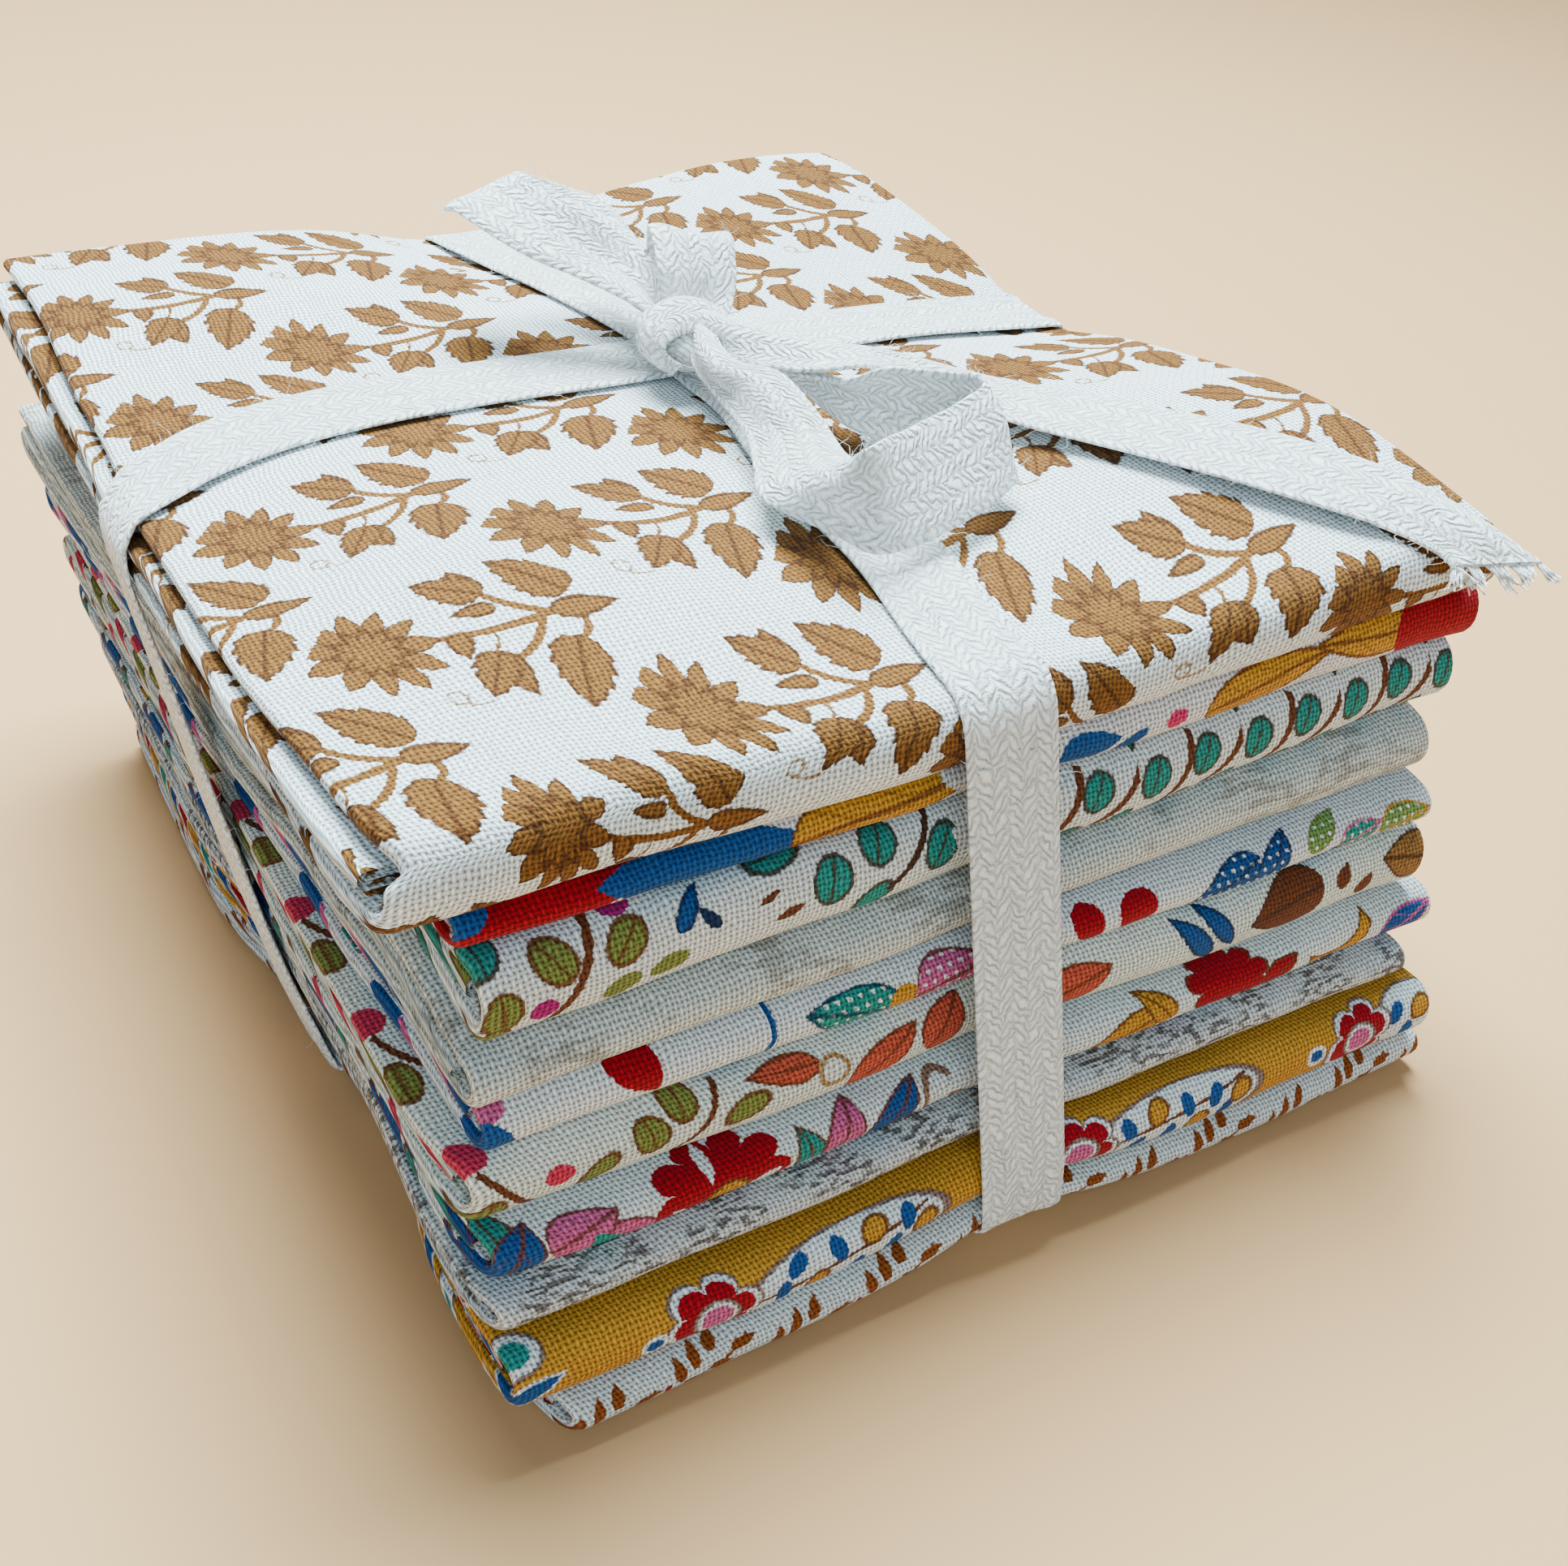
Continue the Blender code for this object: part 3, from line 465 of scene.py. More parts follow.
def mesh_of(name, points, faces, cut):
    """A smooth mesh from points in the tables' millimetres, with a map of each point's place on the cut."""
    mesh = bpy.data.meshes.new(name)
    places = (np.asarray(points, float) - (*STACK_CENTRE, 0)) * MM
    mesh.from_pydata(places, [], faces, shade_flat=False)
    layer = mesh.uv_layers.new(name="cut")
    layer.uv.foreach_set("vector", np.asarray(cut, np.float32)[faces.ravel()].ravel())
    mesh.validate()
    return mesh


def add_object(name, mesh, *materials):
    item = bpy.data.objects.new(name, mesh)
    for material in materials:
        mesh.materials.append(material)
    bpy.context.scene.collection.objects.link(item)
    return item


def joined(shapes):
    """Several shapes as one: points, faces and places on the cut."""
    points, faces, cuts = zip(*shapes)
    before = np.cumsum([0, *map(len, points)])
    return np.vstack(points), np.vstack([f + b for f, b in zip(faces, before)]), np.vstack(cuts)


def taut_outline(points):
    """The convex outline of (along, height) points, going round from the lowest left one."""
    points = sorted(set(map(tuple, points)))

    def half(order):
        chain = []
        for point in order:
            while len(chain) > 1:
                (a0, z0), (a1, z1) = chain[-2], chain[-1]
                if (a1 - a0) * (point[1] - z0) > (z1 - z0) * (point[0] - a0):
                    break
                chain.pop()
            chain.append(point)
        return chain[:-1]

    return np.array(half(points) + half(points[::-1]))


def resampled(loop, step):
    """A closed line with points an even distance apart."""
    loop = np.vstack([loop, loop[:1]])
    run = run_along(loop)
    places = np.linspace(0, run[-1], max(8, int(run[-1] / step)), endpoint=False)
    return np.stack([np.interp(places, run, column) for column in loop.T], axis=-1)


def rounded(loop):
    """A closed line with its corners eased."""
    for _ in range(2):
        loop = 0.25 * np.roll(loop, 1, axis=0) + 0.5 * loop + 0.25 * np.roll(loop, -1, axis=0)
    return loop


def in_section(angle, reach):
    """The point of a wrap's section at an angle and a distance from its middle."""
    return SECTION_CENTRE + np.stack([np.cos(angle), np.sin(angle)], axis=-1) * reach[..., None]


def wrap_lane(clouds, tables, axis, offset, angles):
    """One lane of a wrap: its distance from the middle of the section at each angle."""
    picked = []
    for cloud in clouds:
        away = cloud[:, 1 - axis] - tape_middle(*tables, cloud[:, axis], cloud[:, 2]) - offset
        picked.append(cloud[abs(away) < LANE_REACH][:, (axis, 2)])
    outline = rounded(resampled(taut_outline(np.vstack(picked)), OUTLINE_STEP))
    seen = outline - SECTION_CENTRE
    turn, reach = np.arctan2(seen[:, 1], seen[:, 0]), np.hypot(*seen.T)
    order = np.argsort(turn)
    return np.interp(angles, turn[order], reach[order], period=2 * math.pi)


def wrap_surface(clouds, tables, axis):
    """The middle surface of a wrap as a grid, along the tape and across it."""
    start = np.linspace(-math.pi / 2, math.pi * 3 / 2, WRAP_ANGLES, endpoint=False)
    line = resampled(in_section(start, wrap_lane(clouds, tables, axis, 0, start)), WRAP_STEP)
    angles = np.arctan2(*(line - SECTION_CENTRE).T[::-1])
    lanes = np.array([wrap_lane(clouds, tables, axis, lane * TAPE_WIDTH / 2, angles) for lane in LANES])
    reach = np.array([np.interp(ACROSS_TAPE, LANES, column) for column in lanes.T])
    section = in_section(angles[:, None], reach)
    ahead = np.roll(section, -1, axis=0) - np.roll(section, 1, axis=0)
    out = unit(np.stack([ahead[..., 1], -ahead[..., 0]], axis=-1))
    section = section + out * (TAPE_THICKNESS / 2 + TAPE_CLEARANCE)
    middle = tape_middle(*tables, section[..., 0], section[..., 1])
    side = middle + ACROSS_TAPE[None, :] * TAPE_WIDTH / 2
    x, y = (side, section[..., 0]) if axis == 1 else (section[..., 0], side)
    return np.stack([x, y, section[..., 1]], axis=-1)


def smooth_rows(table):
    """A table's rows with more between them, on a smooth curve through them."""
    rows = np.array(table, float)
    ends = np.vstack([2 * rows[0] - rows[1], rows, 2 * rows[-1] - rows[-2]])
    dense = []
    for b, a, c, d in zip(ends, ends[1:], ends[2:], ends[3:]):
        for t in np.arange(CURVE_STEPS) / CURVE_STEPS:
            dense.append(0.5 * (2 * a + (c - b) * t + (2 * b - 5 * a + 4 * c - d) * t * t
                                + (3 * a - b - 3 * c + d) * t ** 3))
    dense.append(rows[-1])
    return np.array(dense)


def along_curve(table, place):
    """As along_table, on a curve that is smooth through the rows."""
    dense = smooth_rows(table)
    return np.interp(place, dense[:, 0], dense[:, 1])


def tape_middle(below, top, place, z):
    """Where a wrap's middle runs, from its tables under and on the stack."""
    return blend(along_table(below, place), along_curve(top, place), np.clip(z / STACK_HEIGHT, 0, 1))


def ribbon_surface(table):
    """The middle surface of a free stretch of tape. Where its edges are close, it lies in small pleats."""
    rows = smooth_rows(table)
    left, right = rows[:, :3], rows[:, 3:]
    span = right - left
    width = np.linalg.norm(span, axis=1)
    out = unit(np.cross(span, np.gradient((left + right) / 2, axis=0)))
    share = (ACROSS_TAPE + 1) / 2
    spare = np.clip((TAPE_WIDTH / width) ** 2 - 1, 0, 4)
    depth = np.clip(width / (2 * math.pi) * np.sqrt(2 * spare), 0, 1.0)
    pleat = np.sin(2 * math.pi * share + 0.9)[None, :] * depth[:, None] * 0.6
    return left[:, None] + span[:, None] * share[None, :, None] + out[:, None] * pleat[..., None]


def thick_tape(surface, closed):
    """Points, faces and places on the cut of the tape round its middle surface."""
    if closed:
        ahead = np.roll(surface, -1, axis=0) - np.roll(surface, 1, axis=0)
        surface, ahead = (np.vstack([rows, rows[:1]]) for rows in (surface, ahead))
    else:
        ahead = np.gradient(surface, axis=0)
    out = unit(np.cross(np.gradient(surface, axis=1), ahead))
    half = TAPE_THICKNESS / 2 * np.sqrt(np.clip(1 - EDGE_THINNING * abs(ACROSS_TAPE) ** 8, 0, 1))
    upper = surface + out * half[None, :, None]
    lower = surface - out * half[None, :, None]
    ring = np.concatenate([upper, lower[:, ::-1]], axis=1)
    run = run_along(surface[:, len(ACROSS_TAPE) // 2])
    place = np.concatenate([ACROSS_TAPE, ACROSS_TAPE[::-1]]) * TAPE_WIDTH / 2
    cut = np.stack(np.broadcast_arrays(place[None, :], run[:, None]), axis=-1)
    return ring.reshape(-1, 3), grid_faces(*ring.shape[:2], closed=True), cut.reshape(-1, 2)


def knot_core():
    """The crossed tape inside the knot, as a tight bundle."""
    polar = np.linspace(0, math.pi, KNOT_ROWS)[:, None]
    turn = np.linspace(0, 2 * math.pi, KNOT_COLUMNS, endpoint=False)[None, :]
    pleats = 1 + KNOT_PLEATS * np.sin(3 * polar + 5 * turn)
    x = KNOT_RADII[0] * np.cos(polar) * np.ones_like(turn)
    y = KNOT_RADII[1] * np.sin(polar) * np.cos(turn) * pleats
    z = KNOT_RADII[2] * np.sin(polar) * np.sin(turn) * pleats
    cosine, sine = math.cos(KNOT_TURN), math.sin(KNOT_TURN)
    points = np.stack([x * cosine - y * sine, x * sine + y * cosine, z], axis=-1) + KNOT_CENTRE
    cut = np.stack(np.broadcast_arrays(x * 0.8, turn * 4), axis=-1)
    return points.reshape(-1, 3), grid_faces(KNOT_ROWS, KNOT_COLUMNS, closed=True), cut.reshape(-1, 2)


def knot_band():
    """The middle surface of the gathered tape that goes round the knot."""
    angles = np.radians(np.linspace(BAND_FROM, BAND_TO, BAND_ROWS))[:, None]
    place = ACROSS_TAPE[None, :]
    shape = 1 - 0.20 * (place - 0.25) ** 2 - 0.22 * np.clip(-place, 0, 1) ** 2
    shape = shape + 0.075 * np.sin(9.5 * place + 1.3 * angles + 0.8 * np.sin(2.2 * angles))
    out = BAND_RADII[0] * np.cos(angles) * shape
    up = BAND_RADII[1] * np.sin(angles) * shape
    along = place * BAND_WIDTH / 2 * (1 + 0.22 * np.cos(angles + 2.4))
    axis = unit(np.array(BAND_AXIS))
    side = unit(np.cross(axis, (0.0, 0.0, 1.0)))
    top = np.cross(side, axis)
    return BAND_CENTRE + out[..., None] * side + up[..., None] * top + along[..., None] * axis


def loose_threads(starts, leads, lengths, thickness, bend, seed, segments=5):
    """Short bent threads from given places."""
    draw = np.random.RandomState(seed)
    share = np.linspace(0, 1, segments + 1)
    angle = np.arange(4) * math.pi / 2
    shapes = []
    for start, lead, length, thick in zip(starts, leads, lengths, thickness):
        lead = unit(lead)
        turn_to = draw.normal(0, 1, 3)
        turn_to -= lead * (turn_to @ lead)
        side = np.cross(lead, turn_to)
        sway = np.sin(share * 7 + draw.rand() * 6) * share
        path = start + np.outer(share, lead) * length + np.outer(share ** 2, turn_to) * length * bend
        path = path + np.outer(sway, side) * length * bend * 0.3
        side = unit(side)
        ring = np.cos(angle)[:, None] * side + np.sin(angle)[:, None] * np.cross(lead, side)
        tube = path[:, None] + ring[None] * (thick / 2 * (1 - 0.5 * share))[:, None, None]
        cut = np.repeat(np.stack([0.3 + 0 * share, share * length], axis=-1), 4, axis=0)
        shapes.append((tube.reshape(-1, 3), grid_faces(segments + 1, 4, closed=True), cut))
    return joined(shapes)


def edge_fibres(surfaces, count, seed):
    """Fine stray fibres along both edges of the tape and on its face."""
    draw = np.random.RandomState(seed)
    sizes = np.array([len(s) for s in surfaces], float)
    starts, leads = [], []
    for _ in range(count):
        surface = surfaces[draw.choice(len(surfaces), p=sizes / sizes.sum())]
        row = draw.randint(1, len(surface) - 1)
        near, far = (0, 1) if draw.rand() < 0.5 else (-1, -2)
        if draw.rand() < 0.3:
            near = draw.randint(1, len(ACROSS_TAPE) - 2)
            far = near + 1
        out = unit(surface[row, near] - surface[row, far])
        ahead = unit(surface[row + 1, near] - surface[row - 1, near])
        face = np.cross(out, ahead)
        lead = out * draw.uniform(0.2, 1) + ahead * draw.normal(0, 1) + face * draw.normal(0, 0.5)
        lead[2] = abs(lead[2]) * 0.8 + 0.1
        starts.append(surface[row, near])
        leads.append(lead)
    return loose_threads(starts, leads, draw.uniform(0.5, 1.9, count), np.full(count, FIBRE), 0.45, seed + 1)


def frayed_end(surface, tufts, longest, seed):
    """The cut end of the tape, where its yarns come apart in tufts."""
    draw = np.random.RandomState(seed)
    last, before = surface[-1], surface[-4]
    across = unit(last[-1] - last[0])
    starts, leads, lengths = [], [], []
    for number in range(tufts):
        middle = (number + draw.uniform(0.2, 0.8)) / tufts * (len(ACROSS_TAPE) - 1)
        length = 0.4 + longest * draw.uniform(0.1, 1)
        lean = draw.normal(0.1, 0.3)
        for _ in range(12):
            place = np.clip(middle + draw.normal(0, 0.5), 0, len(ACROSS_TAPE) - 1.01)
            low, share = int(place), place % 1
            start = blend(last[low], last[low + 1], share)
            ahead = unit(last[low] - before[low])
            tip = last[int(middle)] + (ahead + across * lean) * (length + 0.5) + draw.normal(0, 0.07, 3)
            starts.append(start - ahead * 0.5 + draw.normal(0, 0.05, 3))
            leads.append(tip - starts[-1])
            lengths.append(np.linalg.norm(leads[-1]) * draw.uniform(0.7, 1.05))
    return loose_threads(starts, leads, lengths, draw.uniform(0.18, 0.36, len(starts)), 0.10, seed + 1, 7)


def make_cloths(materials):
    clouds, items = [], []
    for index, material in enumerate(materials):
        points, cut = cloth_points(index)
        clouds.append(points.reshape(-1, 3))
        name = f"folded_cloth_{index + 1:02d}"
        mesh = mesh_of(name, clouds[-1], grid_faces(*points.shape[:2]), cut.reshape(-1, 2))
        items.append(add_object(name, mesh, material))
    for index, item in enumerate(items):
        node = f"cloth_{index + 1:02d}"
        below = items[index + 1] if index + 1 < CLOTHS else "tape"
        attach(item, "root")
        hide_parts(node)
    return clouds


def make_tape(clouds, material):
    wraps = [wrap_surface(clouds, (FRONT_BACK_BELOW, FRONT_BACK_TOP), 1),
             wrap_surface(clouds, (LEFT_RIGHT_BELOW, LEFT_RIGHT_TOP), 0)]
    ribbons = [ribbon_surface(table) for table in (RIGHT_LOOP, LEFT_LOOP, LONG_END, SHORT_END)]
    seen = [wrap[wrap[:, 0, 2] > 2.0] for wrap in wraps]
    shapes = [thick_tape(wrap, True) for wrap in wraps] + [thick_tape(ribbon, False) for ribbon in ribbons]
    shapes += [thick_tape(knot_band(), False), knot_core()]
    shapes += [edge_fibres(ribbons, 420, 3), edge_fibres(seen, 260, 5)]
    shapes += [frayed_end(ribbons[2], 7, 1.6, 7), frayed_end(ribbons[3], 6, 0.3, 9)]
    item = add_object("tied_tape", mesh_of("tied_tape", *joined(shapes)), material)
    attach(item, "root")
    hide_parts("tape")


class Number:
    """A number that a material's nodes work out for each point."""

    def __init__(self, socket):
        self.socket = socket
        self.tree = socket.id_data

    def worked(self, operation, *others):
        return Number(new_node(self.tree, "Math", self, *others, operation=operation).outputs[0])

    def __add__(self, other):
        return self.worked("ADD", other)

    def __sub__(self, other):
        return self.worked("SUBTRACT", other)

    def __rsub__(self, other):
        return self.worked("MULTIPLY_ADD", -1.0, other)

    def __mul__(self, other):
        return self.worked("MULTIPLY", other)

    def __abs__(self):
        return self.worked("ABSOLUTE")

    __radd__, __rmul__ = __add__, __mul__

    def wrapped(self, width):
        """From minus half the width to plus half, over and over."""
        return self.worked("WRAP", width / 2, -width / 2)

    def ramp(self, low, high, smooth=False):
        """0 at low and 1 at high, and no further."""
        kind = "SMOOTHSTEP" if smooth else "LINEAR"
        return Number(new_node(self.tree, "MapRange", self, low, high, interpolation_type=kind).outputs[0])


def set_input(slot, value):
    if isinstance(value, Number):
        value = value.socket
    if hasattr(value, "id_data"):
        slot.id_data.links.new(value, slot)
    else:
        slot.default_value = value


def new_node(tree, kind, *values, **settings):
    """A new node with its settings and the values of its first inputs."""
    node = tree.nodes.new("ShaderNode" + kind)
    for name, setting in settings.items():
        setattr(node, name, setting)
    for slot, value in zip(node.inputs, values):
        set_input(slot, value)
    return node


def vector_of(tree, x, y):
    return new_node(tree, "CombineXYZ", x, y).outputs[0]


def parts_of(tree, vector):
    return [Number(slot) for slot in new_node(tree, "SeparateXYZ", vector).outputs]


def mixed(tree, share, first, second):
    node = new_node(tree, "Mix", share, data_type="RGBA")
    for slot, colour in ((node.inputs[6], first), (node.inputs[7], second)):
        set_input(slot, (*colour, 1) if isinstance(colour, tuple) else colour)
    return node.outputs[2]


def shaded(tree, colour, factor):
    """The colour times a number."""
    node = new_node(tree, "VectorMath", colour, operation="SCALE")
    set_input(node.inputs["Scale"], factor)
    return node.outputs[0]


def noise(tree, x, y, scale=1.0, detail=0.0):
    """Three numbers of soft noise, each about 0.5."""
    node = new_node(tree, "TexNoise", vector_of(tree, x, y), noise_dimensions="2D")
    node.inputs["Scale"].default_value = scale
    node.inputs["Detail"].default_value = detail
    return parts_of(tree, node.outputs["Color"])


def ink(red, green, blue):
    """A colour from its 0 to 255 values on a screen."""
    return tuple(((v / 255 + 0.055) / 1.055) ** 2.4 for v in (red, green, blue))


# The weave: a thread's width, how far threads wander and tremble, and how high each set of threads is
THREAD = 0.404
WANDER, TREMBLE = 0.55, 0.10
THREAD_ROUNDNESS = 0.9
WARP_OVER, WARP_LEVEL = 0.27, 0.75
WEFT_OVER, WEFT_LEVEL = -0.16, 0.66
COTTON_SHINE = {"Roughness": 0.88, "Specular IOR Level": 0.12, "Sheen Weight": 0.04, "Sheen Roughness": 0.5}
COTTON_BUMP = {"Strength": 0.75, "Distance": 0.00013}

# The painted shade in the gaps between threads and painted highlight on their crowns, how uneven the cotton's
# colour is, and how much of a print follows the threads
PAINTED_SHADE_POWER, PAINTED_SHADE_RANGE, PAINTED_SHADE_LEAST = 1.4, 1.15, 0.09
THREAD_TONE, PATCH_TONE, PATCH_LEAST = 0.12, 0.08, 0.96
STEPPED, PRINT_SHIFT, PRINT_ROUGHNESS = 0.3, THREAD * 0.15 - 0.1, 0.2

# The tape's herringbone: rows, a yarn's width and slope, and its colours: painted shade in the grooves
# between yarns, painted highlight on their crowns, and brown flecks
TAPE_ROWS, YARN, YARN_SLOPE = 6, 0.86, 1.1
TAPE_PAINTED_SHADE, TAPE_PAINTED_LIGHT, FLECK = ink(184, 184, 183), ink(253, 253, 252), ink(110, 86, 70)
TAPE_SHINE = {"Roughness": 0.95, "Specular IOR Level": 0.15, "Sheen Weight": 0.4, "Sheen Roughness": 0.6}
TAPE_BUMP = {"Strength": 1.0, "Distance": 0.00026}

WHITE_INK, COOL_WHITE, WARM_WHITE = ink(242, 246, 248), ink(246, 250, 252), ink(238, 242, 242)
CREAM, TAN, DARK_TAN, PALE_TAN = ink(232, 238, 232), ink(134, 86, 36), ink(84, 46, 18), ink(172, 142, 106)
RED, BLUE, MUSTARD = ink(168, 0, 28), ink(26, 82, 150), ink(208, 146, 44)
TEAL, OLIVE, MAGENTA = ink(34, 148, 138), ink(126, 136, 66), ink(172, 24, 118)
PINK, CORAL, BROWN = ink(212, 98, 150), ink(202, 84, 62), ink(112, 60, 34)
DARK_BROWN, DARK_BLUE, CRIMSON = ink(78, 48, 34), ink(26, 48, 84), ink(206, 52, 84)
GREEN, RUST, OCHRE = ink(120, 158, 84), ink(152, 78, 30), ink(154, 110, 58)
STROKE, DASH = ink(132, 120, 106), ink(96, 82, 76)

# Petals round a flower and their length, and how motifs are drawn: soft edge, outline's place and width
PETALS = {"bloom": (11, 0.40), "daisy": (9, 0.34), "rosette": (6, 0.36)}
EDGE_FROM, EDGE_TO = -0.03, 0.05
OUTLINE_AT, OUTLINE_WIDTH, OUTLINE_STRENGTH = 0.10, (0.20, 0.10), 0.85
VEINED_FROM_WIDTH = 1.2

# The repeats in millimetres: across and along, and how far every other column is dropped
SPRIG_REPEAT, SPRIG_DROP, SPRIG_REACH = (33.0, 18.7), 8.8, (10.4, 8.2)
SPRIG_AT, SPRIG_MIDDLE = (9.9, 35.6), (6.0, -1.45)
SCROLL_REPEAT, SCROLL_DROP, SCROLL_REACH = (17.0, 7.6), 1.2, (4.6, 3.4)
SCROLL_AT = (2.0, -3.9)
FOLD_REPEAT, FOLD_DROP = (96.0, 13.04), 5.0
FOLD_MIDDLE_X, FOLD_MIDDLE_Y = 44.0, -3.7
TEAL_ROW_FROM, TEAL_ROW_AT, TEAL_ROW_ENDS, TEAL_ROW_REPEAT = 37.6, 43.0, (9.0, -1.6), 11.2

# A motif: its kind, place across and along from the middle of its repeat or front fold, half length and half
# width, turn in degrees, colour, and outline if it has one. First the sprig of the top cloth
SPRIG = (
    ("stem", 6.9, -2.5, 1.0, 0.13, 60, TAN),
    ("stem", 7.9, -0.9, 4.4, 0.36, 3, TAN),
    ("stem", 10.2, 0.5, 2.6, 0.34, -36, TAN),
    ("stem", 9.3, -2.5, 2.7, 0.30, 44, TAN),
    ("stem", 13.0, -2.0, 1.3, 0.30, 70, TAN),
    ("leaf", 14.0, -0.5, 2.4, 0.95, 2, TAN, DARK_TAN),
    ("bloom", 0.0, 0.0, 4.3, 5.2, 0, TAN, DARK_TAN),
    ("leaf", 7.8, 4.0, 1.7, 1.05, 95, TAN, DARK_TAN),
    ("toothed", 6.7, 3.8, 2.4, 1.55, 136, TAN, DARK_TAN),
    ("toothed", 11.9, 3.3, 2.9, 1.95, 125, TAN, DARK_TAN),
    ("leaf", 7.1, 0.8, 1.5, 0.7, 178, TAN, DARK_TAN),
    ("toothed", 10.9, -5.8, 3.2, 1.95, -113, TAN, DARK_TAN),
    ("leaf", 6.5, -5.2, 2.1, 1.35, -80, TAN, DARK_TAN),
    ("toothed", 5.3, -5.1, 2.3, 1.4, -127, TAN, DARK_TAN),
    ("leaf", 4.9, -2.1, 1.2, 0.85, -100, TAN, DARK_TAN),
    ("ring", 1.9, -6.3, 0.7, 0.7, 0, PALE_TAN),
    ("stem", 2.8, -7.1, 1.0, 0.11, -8, PALE_TAN),
)


def flower(x, y, turn):
    """A red flower with six petals, ringed in white."""
    return (("rosette", x, y, 3.9, 3.6, turn, WHITE_INK, BROWN), ("rosette", x, y, 3.2, 2.9, turn, RED),
            ("round", x, y - 0.2, 1.9, 1.6, 0, WHITE_INK, BROWN), ("round", x, y - 0.2, 1.3, 1.1, 0, PINK))


def bud(x, y):
    """A blue dot ringed in white."""
    return (("round", x, y, 1.1, 1.0, 0, WHITE_INK), ("round", x, y, 0.7, 0.6, 0, BLUE))


def spray(*places):
    """Small blue ovals at their places and turns. Every third one is larger and mustard."""
    return tuple(("round", x, y, 1.3, 1.05, turn, MUSTARD, BROWN) if number % 3 == 2
                 else ("round", x, y, 1.15, 0.7, turn, BLUE) for number, (x, y, turn) in enumerate(places))


# The front folds of the cloths below the top one
RED_AND_BLUE = (
    ("blade", 4.7, 1.0, 8.0, 2.6, 12, RED), ("blade", 16.7, 0.6, 8.4, 2.7, -6, BLUE),
    ("leaf", 30.1, 0.8, 8.0, 2.6, 4, MUSTARD, BROWN), ("leaf", 47.2, 0.0, 2.6, 1.6, 10, BLUE),
    ("leaf", 50.9, -0.6, 1.8, 1.0, 40, BLUE), ("round", 54.9, 0.2, 1.0, 0.8, 0, ink(214, 50, 110)),
    ("leaf", 64.2, 0.3, 6.5, 2.0, 6, MUSTARD, BROWN), ("leaf", 74.2, 0.8, 5.5, 1.8, 174, MUSTARD, BROWN),
    ("round", 85.3, 0.0, 8.2, 4.4, 0, RED), ("leaf", 0.0, 3.4, 2.6, 1.8, 80, BLUE),
    ("leaf", 0.0, -3.2, 2.4, 1.6, 100, RED),
)
TEAL_LEAVES = (
    ("stem", 5.9, 0.4, 4.4, 0.34, 66, BROWN), ("oval", 0.6, -1.0, 1.7, 1.4, 95, OLIVE, BROWN),
    ("oval", 4.4, 1.5, 1.9, 1.4, 120, OLIVE, BROWN), ("oval", 9.4, 1.3, 1.8, 1.4, 50, OLIVE, BROWN),
    ("oval", 8.9, -2.0, 1.5, 1.0, 20, OLIVE), ("oval", 12.4, -1.6, 1.5, 0.9, 10, OLIVE),
    ("round", 3.4, -1.8, 1.0, 0.9, 0, MAGENTA), ("round", 9.5, 4.0, 1.2, 1.0, 0, MAGENTA),
    ("leaf", 14.2, 2.0, 1.8, 0.7, 55, BLUE, DARK_BLUE), ("leaf", 15.4, 0.9, 1.2, 0.5, 130, DARK_BLUE),
    ("blade", 20.0, 0.8, 1.0, 0.3, 20, BROWN), ("blade", 21.6, -0.8, 1.3, 0.4, 15, BROWN),
    ("oval", 21.2, 3.6, 2.4, 1.3, 10, TEAL, DARK_BROWN), ("oval", 25.1, 0.6, 1.9, 1.6, 78, TEAL, DARK_BROWN),
    ("oval", 29.2, 2.4, 1.8, 1.5, 250, TEAL, DARK_BROWN),
    ("oval", 28.6, -1.8, 1.8, 1.1, 30, TEAL, DARK_BROWN),
    ("oval", 34.5, 0.6, 1.9, 1.5, 60, TEAL, DARK_BROWN), ("stem", 32.0, 1.0, 3.4, 0.3, 50, DARK_BROWN),
    ("oval", 0.0, 3.6, 1.8, 1.4, 90, TEAL, DARK_BROWN), ("round", 0.2, -3.2, 1.2, 1.0, 0, OLIVE, BROWN),
)
TEAL_ROW = (
    ("stem", 2.6, -0.4, 3.8, 0.36, 62, BROWN), ("stem", 7.9, 0.2, 3.8, 0.36, 54, BROWN),
    ("oval", 0.1, 0.4, 1.75, 1.45, 72, TEAL, DARK_BROWN), ("oval", 5.3, 0.7, 1.7, 1.4, 66, TEAL, DARK_BROWN),
    ("oval", 3.2, -3.0, 1.5, 0.9, 15, TEAL, DARK_BROWN), ("oval", -2.2, 3.6, 1.5, 0.9, 20, TEAL, DARK_BROWN),
    ("oval", 8.0, -2.6, 1.4, 0.8, 20, TEAL, DARK_BROWN),
)
